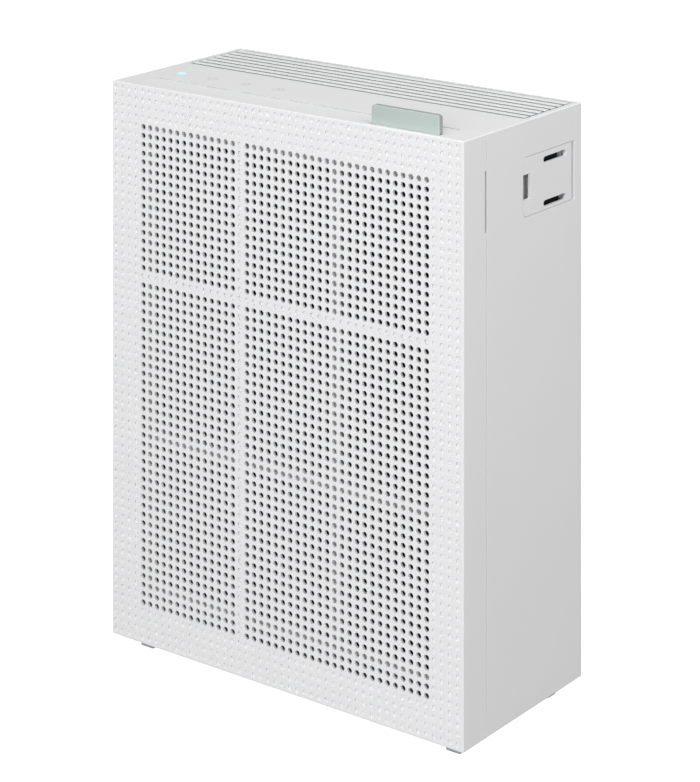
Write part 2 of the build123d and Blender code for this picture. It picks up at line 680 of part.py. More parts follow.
motor_screw_angles = [90 + 120 * i for i in range(3)]
motor_screw_at = [
    (
        MOTOR_SCREW_R * math.cos(math.radians(a)),
        FAN_Z + MOTOR_SCREW_R * math.sin(math.radians(a)),
    )
    for a in motor_screw_angles
]
with BuildPart() as motor_case:
    ring(MOTOR_R - WALL, MOTOR_R, MOTOR_FRONT, MOTOR_BACK_Y)
    ring(BEARING_R, MOTOR_R, MOTOR_FRONT, MOTOR_FRONT + MOTOR_FLANGE_T)
    ring(BEARING_R, BEARING_R + BEARING_SEAT_T, MOTOR_FRONT, bearing_front_y + BEARING_W)
    ring(BEARING_R, MOTOR_FLANGE_R, MOTOR_BACK_Y - MOTOR_FLANGE_T, MOTOR_BACK_Y)
    ring(BEARING_R, BEARING_R + BEARING_SEAT_T, bearing_back_y, MOTOR_BACK_Y)
    with BuildSketch(front_plane(MOTOR_BACK_Y)):
        with Locations(motor_screw_at):
            Circle(SCREW_R + 0.3)
    extrude(amount=MOTOR_FLANGE_T, mode=Mode.SUBTRACT)
save(motor_case, "motor_case")


def screw(at, head_y, length):
    """Add a pan-head screw that points to the back, with its head's seat at head_y."""
    with BuildSketch(front_plane(head_y)) as head:
        with Locations(at):
            Circle(HEAD_R)
    extrude(head.sketch, amount=HEAD_H)
    with BuildSketch(front_plane(head_y + length)) as shank:
        with Locations(at):
            Circle(SCREW_R)
    extrude(shank.sketch, amount=length)


MOTOR_SCREW_L = 8.0
with BuildPart() as motor_screws:
    screw(motor_screw_at, MOTOR_BACK_Y - MOTOR_FLANGE_T, MOTOR_SCREW_L)
save(motor_screws, "motor_screws")

# ---------------------------------------------------------------- scroll
scroll_back_plate_y = SCROLL_BACK_Y + PLATE_T
SCROLL_FRONT_Y = PARTITION_BACK_Y + 0.4
SCROLL_TOP_Z = CEILING_Z - SLAT_H - 3.0
scroll_left_r = FAN_R + 38.0
scroll_bottom_r = FAN_R + 30.0
scroll_right_r = FAN_R + 20.0
TONGUE_GAP = 9.0
tongue_angle = math.radians(42)
tongue_r = FAN_R + TONGUE_GAP
tongue = (tongue_r * math.cos(tongue_angle), FAN_Z + tongue_r * math.sin(tongue_angle))
duct_half_w = FILTER_HALF_W - 1.0
duct_step_z = FAN_Z + FAN_R + 50.0

with BuildPart() as fan_scroll:
    with BuildSketch(front_plane(SCROLL_BACK_Y)):
        with BuildLine():
            Line((-duct_half_w, SCROLL_TOP_Z), (-duct_half_w, duct_step_z))
            Line((-duct_half_w, duct_step_z), (-scroll_left_r, FAN_Z))
            ThreePointArc(
                (-scroll_left_r, FAN_Z),
                (
                    -(scroll_left_r + scroll_bottom_r) / 2 * math.sqrt(0.5),
                    FAN_Z - (scroll_left_r + scroll_bottom_r) / 2 * math.sqrt(0.5),
                ),
                (0, FAN_Z - scroll_bottom_r),
            )
            ThreePointArc(
                (0, FAN_Z - scroll_bottom_r),
                (
                    (scroll_right_r + scroll_bottom_r) / 2 * math.sqrt(0.5),
                    FAN_Z - (scroll_right_r + scroll_bottom_r) / 2 * math.sqrt(0.5),
                ),
                (scroll_right_r, FAN_Z),
            )
            ThreePointArc(
                (scroll_right_r, FAN_Z),
                (
                    (scroll_right_r + tongue_r) / 2 * math.cos(tongue_angle / 2),
                    FAN_Z + (scroll_right_r + tongue_r) / 2 * math.sin(tongue_angle / 2),
                ),
                tongue,
            )
            Line(tongue, (duct_half_w, duct_step_z))
            Line((duct_half_w, duct_step_z), (duct_half_w, SCROLL_TOP_Z))
            Line((duct_half_w, SCROLL_TOP_Z), (-duct_half_w, SCROLL_TOP_Z))
        make_face()
        offset(amount=-SCROLL_WALL, mode=Mode.SUBTRACT)
        with Locations((0, SCROLL_TOP_Z)):
            Rectangle(
                2 * (duct_half_w - SCROLL_WALL), 2 * SCROLL_WALL + 0.2, mode=Mode.SUBTRACT
            )
    extrude(amount=SCROLL_BACK_Y - SCROLL_FRONT_Y)
    # sloping baffle that turns the air back under the louvre
    with BuildSketch(side_plane(-(duct_half_w - SCROLL_WALL / 2))):
        with BuildLine():
            Polyline(
                (SCROLL_FRONT_Y, SCROLL_TOP_Z - 42),
                (LOUVRE_FRONT_Y, SCROLL_TOP_Z),
                (LOUVRE_FRONT_Y - SCROLL_WALL * 1.5, SCROLL_TOP_Z),
                (SCROLL_FRONT_Y, SCROLL_TOP_Z - 42 + SCROLL_WALL * 2.2),
                close=True,
            )
        make_face()
    extrude(amount=2 * duct_half_w - SCROLL_WALL)
save(fan_scroll, "fan_scroll")

scroll_screw_at = [(side * SCROLL_SCREW_X, z) for side in (-1, 1) for z in SCROLL_SCREW_Z]
LEAD_HOLE = (24.0, FAN_Z - MOTOR_FLANGE_R - 14.0)
LEAD_HOLE_R = 6.0
scroll_plate_bottom_z = FAN_Z - scroll_bottom_r - 4.0
with BuildPart() as scroll_back:
    with BuildSketch(front_plane(scroll_back_plate_y)):
        with Locations((0, (scroll_plate_bottom_z + SCROLL_TOP_Z) / 2)):
            Rectangle(2 * (duct_half_w + 1), SCROLL_TOP_Z - scroll_plate_bottom_z)
        with Locations((0, FAN_Z)):
            Circle(BEARING_R, mode=Mode.SUBTRACT)
        with Locations(motor_screw_at):
            Circle(SCREW_R + 0.02, mode=Mode.SUBTRACT)
        with Locations(scroll_screw_at):
            Circle(SCREW_R + 0.3, mode=Mode.SUBTRACT)
        with Locations(LEAD_HOLE):
            Circle(LEAD_HOLE_R, mode=Mode.SUBTRACT)
    extrude(amount=PLATE_T)
save(scroll_back, "scroll_back")

# ================================================================ rear case
scroll_post_front_y = scroll_back_plate_y
bay_screw_at = [(side * BAY_SCREW_X, z) for side in (-1, 1) for z in BAY_SCREW_Z]
standoff_at = [
    (MAIN_BOARD_AT[0] + sx * (MAIN_BOARD[0] / 2 - 5), MAIN_BOARD_AT[1] + sy * (MAIN_BOARD[1] / 2 - 5))
    for sx in (-1, 1)
    for sy in (-1, 1)
]
BOARD_SCREW_R = 1.3
with BuildPart() as rear_case:
    with BuildSketch(front_plane(BACK_Y)):
        with Locations((0, MID_Z)):
            RectangleRounded(BODY_W, BODY_H, CORNER_R)
    extrude(amount=BACK_Y - CASE_FRONT_Y)
    fillet(rear_case.faces().sort_by(Axis.Y)[-1].edges(), EDGE_R)
    block(
        (-INNER_X, INNER_X),
        (CASE_FRONT_Y - 1, INNER_BACK_Y),
        (FLOOR_Z, CEILING_Z),
        mode=Mode.SUBTRACT,
    )
    # louvre opening
    block(
        (-LOUVRE_HALF_W, LOUVRE_HALF_W),
        (LOUVRE_FRONT_Y, LOUVRE_BACK_Y),
        (CEILING_Z - 1, TOP_Z + 1),
        mode=Mode.SUBTRACT,
    )
    # hole for the light
    with Locations((LIGHT_X, LIGHT_Y, TOP_Z - WALL / 2)):
        Cylinder(LIGHT_R + GLUE, WALL + 2, mode=Mode.SUBTRACT)
    # opening for the sensor door
    with BuildSketch(side_plane(SIDE_X)):
        door_outline(DOOR_L, DOOR_H, DOOR_R)
    extrude(amount=-WALL - 0.5, mode=Mode.SUBTRACT)
    # opening for the power inlet
    block(
        (INLET_X - INLET_W / 2 - GLUE, INLET_X + INLET_W / 2 + GLUE),
        (INNER_BACK_Y - 1, BACK_Y + 1),
        (INLET_Z - INLET_H / 2 - GLUE, INLET_Z + INLET_H / 2 + GLUE),
        mode=Mode.SUBTRACT,
    )
    # bosses behind the bay's flange, tied to the side walls
    for side in (-1, 1):
        for z in BAY_SCREW_Z:
            block(
                sorted((side * BAY_SCREW_X, side * (INNER_X + 0.5))),
                (FLANGE_BACK_Y, FLANGE_BACK_Y + BAY_SCREW_L),
                (z - SCREW_BOSS_R, z + SCREW_BOSS_R),
            )
    with BuildSketch(front_plane(FLANGE_BACK_Y)):
        with Locations(bay_screw_at):
            Circle(SCREW_BOSS_R)
    extrude(amount=-BAY_SCREW_L)
    with BuildSketch(front_plane(FLANGE_BACK_Y)):
        with Locations(bay_screw_at):
            Circle(SCREW_R + 0.02)
    extrude(amount=-BAY_SCREW_L - 1, mode=Mode.SUBTRACT)
    # posts that hold the scroll's back plate
    with BuildSketch(front_plane(scroll_post_front_y)):
        with Locations(scroll_screw_at):
            Circle(SCREW_BOSS_R + 1)
    extrude(amount=-(INNER_BACK_Y - scroll_post_front_y) - 0.5)
    with BuildSketch(front_plane(scroll_post_front_y)):
        with Locations(scroll_screw_at):
            Circle(SCREW_R + 0.02)
    extrude(amount=-(INNER_BACK_Y - scroll_post_front_y) + 0.5, mode=Mode.SUBTRACT)
    # standoffs for the main board
    with BuildSketch(level_plane(FLOOR_Z - 0.5)):
        with Locations(standoff_at):
            Circle(3.5)
    extrude(amount=STANDOFF_H + 0.5)
    with BuildSketch(level_plane(FLOOR_Z + 0.5)):
        with Locations(standoff_at):
            Circle(BOARD_SCREW_R + 0.02)
    extrude(amount=STANDOFF_H, mode=Mode.SUBTRACT)
save(rear_case, "rear_case")

with BuildPart() as housing_screws:
    screw(bay_screw_at, FLANGE_Y, BAY_SCREW_L)
    screw(scroll_screw_at, SCROLL_BACK_Y, SCREW_L - 3)
save(housing_screws, "housing_screws")

# ---------------------------------------------------------------- outlet louvre
BEARERS = 7
bearer_xs = [
    (i / (BEARERS - 1) - 0.5) * 2 * (LOUVRE_HALF_W - BEARER_T / 2 - GLUE) for i in range(BEARERS)
]
with BuildPart() as outlet_louvre:
    for i in range(1, GAPS):
        slat_y = FIRST_GAP + (i - 0.5) * GAP_PITCH
        with BuildSketch(side_plane(-SLAT_HALF_W)):
            with BuildLine():
                Polyline(
                    (slat_y - SLAT_W / 2, TOP_Z),
                    (slat_y + SLAT_W / 2, TOP_Z),
                    (slat_y + SLAT_W / 2, TOP_Z - 2),
                    (slat_y + SLAT_FOOT_W / 2, TOP_Z - SLAT_H),
                    (slat_y - SLAT_FOOT_W / 2, TOP_Z - SLAT_H),
                    (slat_y - SLAT_W / 2, TOP_Z - 2),
                    close=True,
                )
            make_face()
        extrude(amount=2 * SLAT_HALF_W)
    # bearers across the slats, below the top
    for x in bearer_xs:
        block(
            (x - BEARER_T / 2, x + BEARER_T / 2),
            (LOUVRE_FRONT_Y + GLUE, LOUVRE_BACK_Y - GLUE),
            (TOP_Z - SLAT_H, TOP_Z - BEARER_DROP),
        )
    # end bars, and stops that close the gaps' ends and leave a notch beside each slat
    for side in (-1, 1):
        end_x = sorted((side * (SLAT_HALF_W - 1), side * (LOUVRE_HALF_W - GLUE)))
        block(
            end_x,
            (LOUVRE_FRONT_Y + GLUE, LOUVRE_BACK_Y - GLUE),
            (TOP_Z - SLAT_H, TOP_Z - SLAT_H + BEARER_T),
        )
        for i in range(GAPS):
            gap_y = FIRST_GAP + i * GAP_PITCH
            block(
                end_x,
                (gap_y - GAP / 2 + GLUE, gap_y + GAP / 2 - GLUE),
                (TOP_Z - SLAT_H, TOP_Z - END_STOP_DROP),
            )
save(outlet_louvre, "outlet_louvre")

# ================================================================ sensor door
DOOR_TOP_Z = DOOR_MID_Z + DOOR_LEAF_H / 2
DOOR_BOTTOM_Z = DOOR_MID_Z - DOOR_LEAF_H / 2

with BuildPart() as sensor_door:
    # flat leaf and a rounded rear edge about the pin, both trimmed to the outline
    block((SIDE_X - DOOR_T, SIDE_X), (DOOR_FRONT_Y, HINGE_Y), (DOOR_BOTTOM_Z, DOOR_TOP_Z))
    with BuildSketch(level_plane(DOOR_BOTTOM_Z)):
        with Locations((HINGE_X, HINGE_Y)):
            Circle(HINGE_R)
    extrude(amount=DOOR_LEAF_H)
    with BuildSketch(side_plane(SIDE_X)):
        door_outline(DOOR_L - 2 * FIT, DOOR_LEAF_H, DOOR_R - FIT)
    extrude(amount=-2 * HINGE_R, mode=Mode.INTERSECT)
    with BuildSketch(level_plane(DOOR_BOTTOM_Z - PIN_L)):
        with Locations((HINGE_X, HINGE_Y)):
            Circle(PIN_R)
    extrude(amount=DOOR_LEAF_H + 2 * PIN_L)
    # two slots, and the finger notch in the free edge
    with BuildSketch(side_plane(SIDE_X)):
        with Locations((SLOT_Y, DOOR_MID_Z - SLOT_DROP)):
            with GridLocations(0, SLOT_STEP, 1, 2):
                SlotOverall(SLOT_L, SLOT_H)
        with Locations((DOOR_FRONT_Y + FINGER_L / 2 - 1, DOOR_MID_Z)):
            RectangleRounded(FINGER_L + 2, FINGER_H, 1)
    extrude(amount=-DOOR_T, mode=Mode.SUBTRACT)
save(sensor_door, "sensor_door")

TRAY_Y = (TRAY_FRONT_Y, DOOR_Y + DOOR_L / 2 + TRAY_MARGIN)
TRAY_Z = (DOOR_MID_Z - DOOR_H / 2 - TRAY_MARGIN - 2, DOOR_MID_Z + DOOR_H / 2 + TRAY_MARGIN + 2)
EAR_HALF_W = 3.6
EAR_INSIDE = 3.2
with BuildPart() as sensor_tray:
    block((TRAY_X - TRAY_DEPTH, TRAY_X), TRAY_Y, TRAY_Z)
    block(
        (TRAY_X - TRAY_DEPTH + TRAY_WALL, TRAY_X + 1),
        (TRAY_Y[0] + TRAY_WALL, TRAY_Y[1] - TRAY_WALL),
        (TRAY_Z[0] + TRAY_WALL, TRAY_Z[1] - TRAY_WALL),
        mode=Mode.SUBTRACT,
    )
    # ears that hold the door's pins
    for ear_z in (
        (TRAY_Z[0] + TRAY_WALL - 0.5, DOOR_BOTTOM_Z - FIT),
        (DOOR_TOP_Z + FIT, TRAY_Z[1] - TRAY_WALL + 0.5),
    ):
        block(
            (HINGE_X - EAR_INSIDE, TRAY_X), (HINGE_Y - EAR_HALF_W, HINGE_Y + EAR_HALF_W), ear_z
        )
    with BuildSketch(level_plane(DOOR_BOTTOM_Z - PIN_L - 0.3)):
        with Locations((HINGE_X, HINGE_Y)):
            Circle(PIN_R + RUNNING_GAP)
    extrude(amount=DOOR_LEAF_H + 2 * PIN_L + 0.6, mode=Mode.SUBTRACT)
save(sensor_tray, "sensor_tray")

SENSOR_L = 35.0
SENSOR_HALF_H = 20.0
SENSOR_Y = (SLOT_Y - SENSOR_L / 2 + 0.3, SLOT_Y + SENSOR_L / 2 + 0.3)
SENSOR_Z = (DOOR_MID_Z - SENSOR_HALF_H, DOOR_MID_Z + SENSOR_HALF_H)
SENSOR_FRONT_X = TRAY_X - 4.4
sensor_back_x = TRAY_X - TRAY_DEPTH + TRAY_WALL
with BuildPart() as sensor_body:
    block((sensor_back_x, SENSOR_FRONT_X), SENSOR_Y, SENSOR_Z)
    chamfer(sensor_body.faces().sort_by(Axis.X)[-1].edges(), 0.8)
save(sensor_body, "sensor_body")

LENS_Y = SLOT_Y + 15.8
LENS_W = 2.6
LENS_T = 2.4
with BuildPart() as sensor_lens:
    block(
        (SENSOR_FRONT_X, SENSOR_FRONT_X + LENS_T),
        (LENS_Y - LENS_W / 2, LENS_Y + LENS_W / 2),
        (SENSOR_Z[0] + 1, SENSOR_Z[1] - 1),
    )
save(sensor_lens, "sensor_lens")

# ================================================================ control board and light
CONTROL_X = (LIGHT_X - 12.0, KEY_X[-1] + 14.0)
CONTROL_Y = (SEAM_Y + 10.8, min(SEAM_Y + 37.8, LOUVRE_FRONT_Y - 2.0))
control_top_z = CONTROL_BOARD_Z + BOARD_T
with BuildPart() as control_board:
    block(CONTROL_X, CONTROL_Y, (CONTROL_BOARD_Z, control_top_z))
save(control_board, "control_board")

KEY_SPRING_R = 5.0
with BuildPart() as touch_springs:
    with BuildSketch(level_plane(control_top_z)):
        with Locations([(x, KEY_Y) for x in KEY_X]):
            Circle(KEY_SPRING_R)
            Circle(KEY_SPRING_R - 0.9, mode=Mode.SUBTRACT)
    extrude(amount=CEILING_Z - control_top_z - 0.1)
save(touch_springs, "touch_springs")

with BuildPart() as light_guide:
    with BuildSketch(level_plane(control_top_z)):
        with Locations((LIGHT_X, LIGHT_Y)):
            Circle(LIGHT_R + 1.2)
            Circle(LIGHT_R - 0.6, mode=Mode.SUBTRACT)
    extrude(amount=CEILING_Z - control_top_z)
save(light_guide, "light_guide")

with BuildPart() as light_lens:
    with BuildSketch(level_plane(CEILING_Z)):
        with Locations((LIGHT_X, LIGHT_Y)):
            Circle(LIGHT_R)
    extrude(amount=WALL)
save(light_lens, "light_lens")

# ================================================================ main board
board_top_z = MAIN_BOARD_Z + BOARD_T
BOARD_FRONT_Y = MAIN_BOARD_AT[1] - MAIN_BOARD[1] / 2
BOARD_LEFT_X = MAIN_BOARD_AT[0] - MAIN_BOARD[0] / 2
BOARD_RIGHT_X = MAIN_BOARD_AT[0] + MAIN_BOARD[0] / 2
with BuildPart() as main_board:
    with BuildSketch(level_plane(MAIN_BOARD_Z)):
        with Locations(MAIN_BOARD_AT):
            Rectangle(*MAIN_BOARD)
        with Locations(standoff_at):
            Circle(BOARD_SCREW_R + 0.2, mode=Mode.SUBTRACT)
    extrude(amount=BOARD_T)
save(main_board, "main_board")

with BuildPart() as board_screws:
    with BuildSketch(level_plane(board_top_z)):
        with Locations(standoff_at):
            Circle(2.6)
    extrude(amount=1.8)
    with BuildSketch(level_plane(board_top_z - 7)):
        with Locations(standoff_at):
            Circle(BOARD_SCREW_R)
    extrude(amount=7)
save(board_screws, "board_screws")

CONNECTOR = (10.0, 10.0, 9.0)
power_plug_at = (BOARD_LEFT_X + 6, MAIN_BOARD_AT[1] - 8)
motor_plug_at = (MAIN_BOARD_AT[0] - 8, MAIN_BOARD_AT[1] + 20)
sensor_plug_at = (BOARD_RIGHT_X - 6, MAIN_BOARD_AT[1] - 6)
control_plug_at = (MAIN_BOARD_AT[0] - 28, BOARD_FRONT_Y + 6)
plugs_at = (power_plug_at, motor_plug_at, sensor_plug_at, control_plug_at)
TRANSFORMER = (30.0, 24.0, 20.0)
with BuildPart() as board_parts:
    with Locations((MAIN_BOARD_AT[0] + 10, MAIN_BOARD_AT[1] - 14, board_top_z)):
        Box(*TRANSFORMER, align=(Align.CENTER, Align.CENTER, Align.MIN))
    with Locations(*[(x, y, board_top_z) for x, y in plugs_at]):
        Box(*CONNECTOR, align=(Align.CENTER, Align.CENTER, Align.MIN))
    with Locations(
        (MAIN_BOARD_AT[0] - 30, MAIN_BOARD_AT[1] + 14, board_top_z),
        (MAIN_BOARD_AT[0] + 22, MAIN_BOARD_AT[1] + 16, board_top_z),
    ):
        Cylinder(7, 22, align=(Align.CENTER, Align.CENTER, Align.MIN))
save(board_parts, "board_parts")

# ================================================================ power inlet
with BuildPart() as power_inlet:
    block(
        (INLET_X - INLET_W / 2, INLET_X + INLET_W / 2),
        (BACK_Y - INLET_DEPTH, BACK_Y),
        (INLET_Z - INLET_H / 2, INLET_Z + INLET_H / 2),
    )
    block(
        (INLET_X - INLET_W / 2 - 3, INLET_X + INLET_W / 2 + 3),
        (INNER_BACK_Y - 2, INNER_BACK_Y),
        (INLET_Z - INLET_H / 2 - 3, INLET_Z + INLET_H / 2 + 3),
    )
    with BuildSketch(front_plane(BACK_Y)):
        with Locations((INLET_X, INLET_Z)):
            SlotOverall(SOCKET_W, SOCKET_H)
    extrude(amount=SOCKET_DEPTH, mode=Mode.SUBTRACT)
    with BuildSketch(front_plane(BACK_Y)):
        with Locations((INLET_X, INLET_Z)):
            with GridLocations(INLET_PIN_STEP, 0, 2, 1):
                Circle(INLET_PIN_R + 0.02)
    extrude(amount=INLET_DEPTH + 1, mode=Mode.SUBTRACT)
save(power_inlet, "power_inlet")

PIN_TAIL = 4.0
PIN_SHY = 3.0
with BuildPart() as inlet_pins:
    with BuildSketch(front_plane(BACK_Y - PIN_SHY)):
        with Locations((INLET_X, INLET_Z)):
            with GridLocations(INLET_PIN_STEP, 0, 2, 1):
                Circle(INLET_PIN_R)
    extrude(amount=INLET_DEPTH + PIN_TAIL - PIN_SHY)
save(inlet_pins, "inlet_pins")

# ================================================================ leads inside the case
LEAD_R = 2.0
POWER_LEAD_R = 2.8


def lead(points, radius, name):
    """Sweep a round lead along straight runs joined by tangent arcs, and print the arcs' radii."""
    vectors = [Vector(*p) for p in points]
    runs = [(b - a).length for a, b in zip(vectors, vectors[1:])]
    radii = []
    for i in range(1, len(vectors) - 1):
        turn = math.radians((vectors[i] - vectors[i - 1]).get_angle(vectors[i + 1] - vectors[i]))
        radii.append(0.45 * min(runs[i - 1], runs[i]) / math.tan(turn / 2))
    print(name, "radii", [round(r, 1) for r in radii])
    with BuildPart() as tube:
        with BuildLine():
            path = FilletPolyline(*points, radius=radii)
        with BuildSketch(Plane(origin=path @ 0, z_dir=path % 0)):
            Circle(radius)
        sweep()
    ideal = math.pi * radius**2 * path.length
    print(name, "volume over section times length", round(tube.part.volume / ideal, 5))
    save(tube, name)


LEAD_STOP = 2.5  # a lead's end stays this far off its plug, because it arrives aslant
plug_z = board_top_z + CONNECTOR[2] / 2
half_plug = CONNECTOR[0] / 2
inlet_to_board = BOARD_LEFT_X - INLET_X
lead(
    [
        (INLET_X, BACK_Y - INLET_DEPTH - PIN_TAIL - 1, INLET_Z),
        (INLET_X + 0.02 * inlet_to_board, BACK_Y - 40.5, INLET_Z - 2),
        (INLET_X + 0.15 * inlet_to_board, BACK_Y - 54.5, INLET_Z - 10),
        (INLET_X + 0.38 * inlet_to_board, BACK_Y - 59.5, 15),
        (INLET_X + 0.62 * inlet_to_board, BACK_Y - 56.5, 13),
        (INLET_X + 0.83 * inlet_to_board, BACK_Y - 51.5, 15),
        (power_plug_at[0] - half_plug - LEAD_STOP, power_plug_at[1], plug_z),
    ],
    POWER_LEAD_R,
    "power_lead",
)
lead(
    [
        (LEAD_HOLE[0], SCROLL_BACK_Y - 4, LEAD_HOLE[1]),
        (LEAD_HOLE[0] + 1, BACK_Y - 13.5, LEAD_HOLE[1] - 4),
        (LEAD_HOLE[0] + 6, BACK_Y - 9.5, LEAD_HOLE[1] - 22),
        (LEAD_HOLE[0] + 16, BACK_Y - 10, 84),
        (LEAD_HOLE[0] + 26, BACK_Y - 11.5, 58),
        (motor_plug_at[0] - 1, BACK_Y - 16.5, 42),
        (motor_plug_at[0], motor_plug_at[1], board_top_z + CONNECTOR[2] + LEAD_STOP),
    ],
    LEAD_R,
    "motor_lead",
)
sensor_fall = TRAY_Z[0] - 46
lead(
    [
        (TRAY_X - 7, BACK_Y - 62.5, TRAY_Z[0] - 0.5),
        (TRAY_X - 8, BACK_Y - 61.5, TRAY_Z[0] - 0.09 * sensor_fall),
        (TRAY_X - 11, BACK_Y - 58.5, TRAY_Z[0] - 0.23 * sensor_fall),
        (TRAY_X - 10, BACK_Y - 55.5, TRAY_Z[0] - 0.40 * sensor_fall),
        (TRAY_X - 12, BACK_Y - 57.5, TRAY_Z[0] - 0.57 * sensor_fall),
        (TRAY_X - 10, BACK_Y - 54.5, TRAY_Z[0] - 0.74 * sensor_fall),
        (TRAY_X - 13, BACK_Y - 52.5, TRAY_Z[0] - 0.89 * sensor_fall),
        (TRAY_X - 20, BACK_Y - 49.5, 46),
        (TRAY_X - 30, BACK_Y - 50.5, 27),
        (sensor_plug_at[0] + half_plug + LEAD_STOP, sensor_plug_at[1], plug_z),
    ],
    LEAD_R,
    "sensor_lead",
)
control_fall = CONTROL_BOARD_Z - 36
control_run = control_plug_at[0] - CONTROL_X[0]
control_low_y = max(BOARD_FRONT_Y - 12, PARTITION_BACK_Y + 6)
lead(
    [
        (CONTROL_X[0] + 3, SEAM_Y + 31.8, CONTROL_BOARD_Z - 0.5),
        (CONTROL_X[0] + 2, SEAM_Y + 32.8, CONTROL_BOARD_Z - 0.045 * control_fall),
        (CONTROL_X[0] - 1, SEAM_Y + 36.8, CONTROL_BOARD_Z - 0.12 * control_fall),
        (CONTROL_X[0] + 1, SEAM_Y + 42.8, CONTROL_BOARD_Z - 0.25 * control_fall),
        (CONTROL_X[0] - 1, SEAM_Y + 46.8, CONTROL_BOARD_Z - 0.38 * control_fall),
        (CONTROL_X[0] + 1, SEAM_Y + 49.8, CONTROL_BOARD_Z - 0.52 * control_fall),
        (CONTROL_X[0], SEAM_Y + 47.8, CONTROL_BOARD_Z - 0.65 * control_fall),
        (CONTROL_X[0] + 2, SEAM_Y + 44.8, CONTROL_BOARD_Z - 0.79 * control_fall),
        (CONTROL_X[0] + 5, control_low_y, CONTROL_BOARD_Z - 0.91 * control_fall),
        (CONTROL_X[0] + 14, control_low_y - 1, 36),
        (CONTROL_X[0] + 0.20 * control_run, BOARD_FRONT_Y - 16, 18),
        (CONTROL_X[0] + 0.39 * control_run, BOARD_FRONT_Y - 17, 13),
        (CONTROL_X[0] + 0.61 * control_run, BOARD_FRONT_Y - 14, 12),
        (CONTROL_X[0] + 0.83 * control_run, BOARD_FRONT_Y - 13, 13),
        (control_plug_at[0] - 8, BOARD_FRONT_Y - 9, 17),
        (control_plug_at[0], control_plug_at[1] - half_plug - LEAD_STOP, plug_z),
    ],
    LEAD_R,
    "control_lead",
)

# ================================================================ feet
feet = {
    "foot_front_left": (FRONT_FOOT_X[0], FRONT_FOOT_Y),
    "foot_front_right": (FRONT_FOOT_X[1], FRONT_FOOT_Y),
    "foot_rear_left": (REAR_FOOT_X[0], REAR_FOOT_Y),
    "foot_rear_right": (REAR_FOOT_X[1], REAR_FOOT_Y),
}
for name, at in feet.items():
    with BuildPart() as foot:
        with BuildSketch(level_plane(0)):
            with Locations(at):
                RectangleRounded(FOOT_W, FOOT_D, 1.2)
        extrude(amount=FOOT_H)
        chamfer(foot.faces().sort_by(Axis.Z)[0].edges(), 0.6)
    save(foot, name)
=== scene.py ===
"""Box air purifier: pieces, finishes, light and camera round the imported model.

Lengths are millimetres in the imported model's frame, and become metres in as_mesh(). The lamps and
the camera are placed in metres.
"""

import json
import math

import bmesh
import bpy
from mathutils import Matrix, Vector

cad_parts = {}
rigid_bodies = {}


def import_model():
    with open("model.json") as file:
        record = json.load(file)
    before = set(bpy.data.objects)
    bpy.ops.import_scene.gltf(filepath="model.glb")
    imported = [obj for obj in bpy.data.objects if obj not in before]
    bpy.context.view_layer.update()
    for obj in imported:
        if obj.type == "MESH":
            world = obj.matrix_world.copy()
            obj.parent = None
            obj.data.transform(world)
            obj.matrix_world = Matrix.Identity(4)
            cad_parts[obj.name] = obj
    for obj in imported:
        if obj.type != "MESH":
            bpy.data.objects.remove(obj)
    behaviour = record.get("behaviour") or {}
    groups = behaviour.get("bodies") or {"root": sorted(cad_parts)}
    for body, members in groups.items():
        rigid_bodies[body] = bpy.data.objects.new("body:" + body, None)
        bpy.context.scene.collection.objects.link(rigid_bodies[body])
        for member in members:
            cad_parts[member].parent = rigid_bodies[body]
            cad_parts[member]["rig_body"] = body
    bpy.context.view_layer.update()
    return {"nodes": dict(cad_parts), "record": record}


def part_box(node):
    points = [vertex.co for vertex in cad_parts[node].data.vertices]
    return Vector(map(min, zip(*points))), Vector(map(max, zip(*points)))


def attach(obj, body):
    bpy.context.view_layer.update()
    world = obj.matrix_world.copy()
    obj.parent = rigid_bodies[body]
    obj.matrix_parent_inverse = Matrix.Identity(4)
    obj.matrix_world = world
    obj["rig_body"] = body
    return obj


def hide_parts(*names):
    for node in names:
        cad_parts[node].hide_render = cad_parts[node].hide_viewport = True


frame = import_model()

SLOT_OF = {part["node"]: part["material_slot"] for part in frame["record"]["subparts"]}

MM = 0.001


# ---------------------------------------------------------------- finishes
CELLS_PER_METRE = 900.0
TRACKS_PER_METRE = 180.0


class Wire:
    """An output socket that takes part in Python arithmetic."""

    def __init__(self, finish, socket):
        self.finish = finish
        self.socket = socket

    def maths(self, operation, *values):
        return self.finish.node("ShaderNodeMath", {"operation": operation}, dict(enumerate(values)))

    def __add__(self, other):
        return self.maths("ADD", self, other)

    __radd__ = __add__

    def __mul__(self, other):
        return self.maths("MULTIPLY", self, other)

    __rmul__ = __mul__

    def above(self, edge, softness):
        """0 below the edge, 1 above it, with a soft step between."""
        return self.finish.node(
            "ShaderNodeMapRange",
            {"interpolation_type": "SMOOTHSTEP"},
            {"Value": self, "From Min": edge - softness, "From Max": edge + softness},
        )


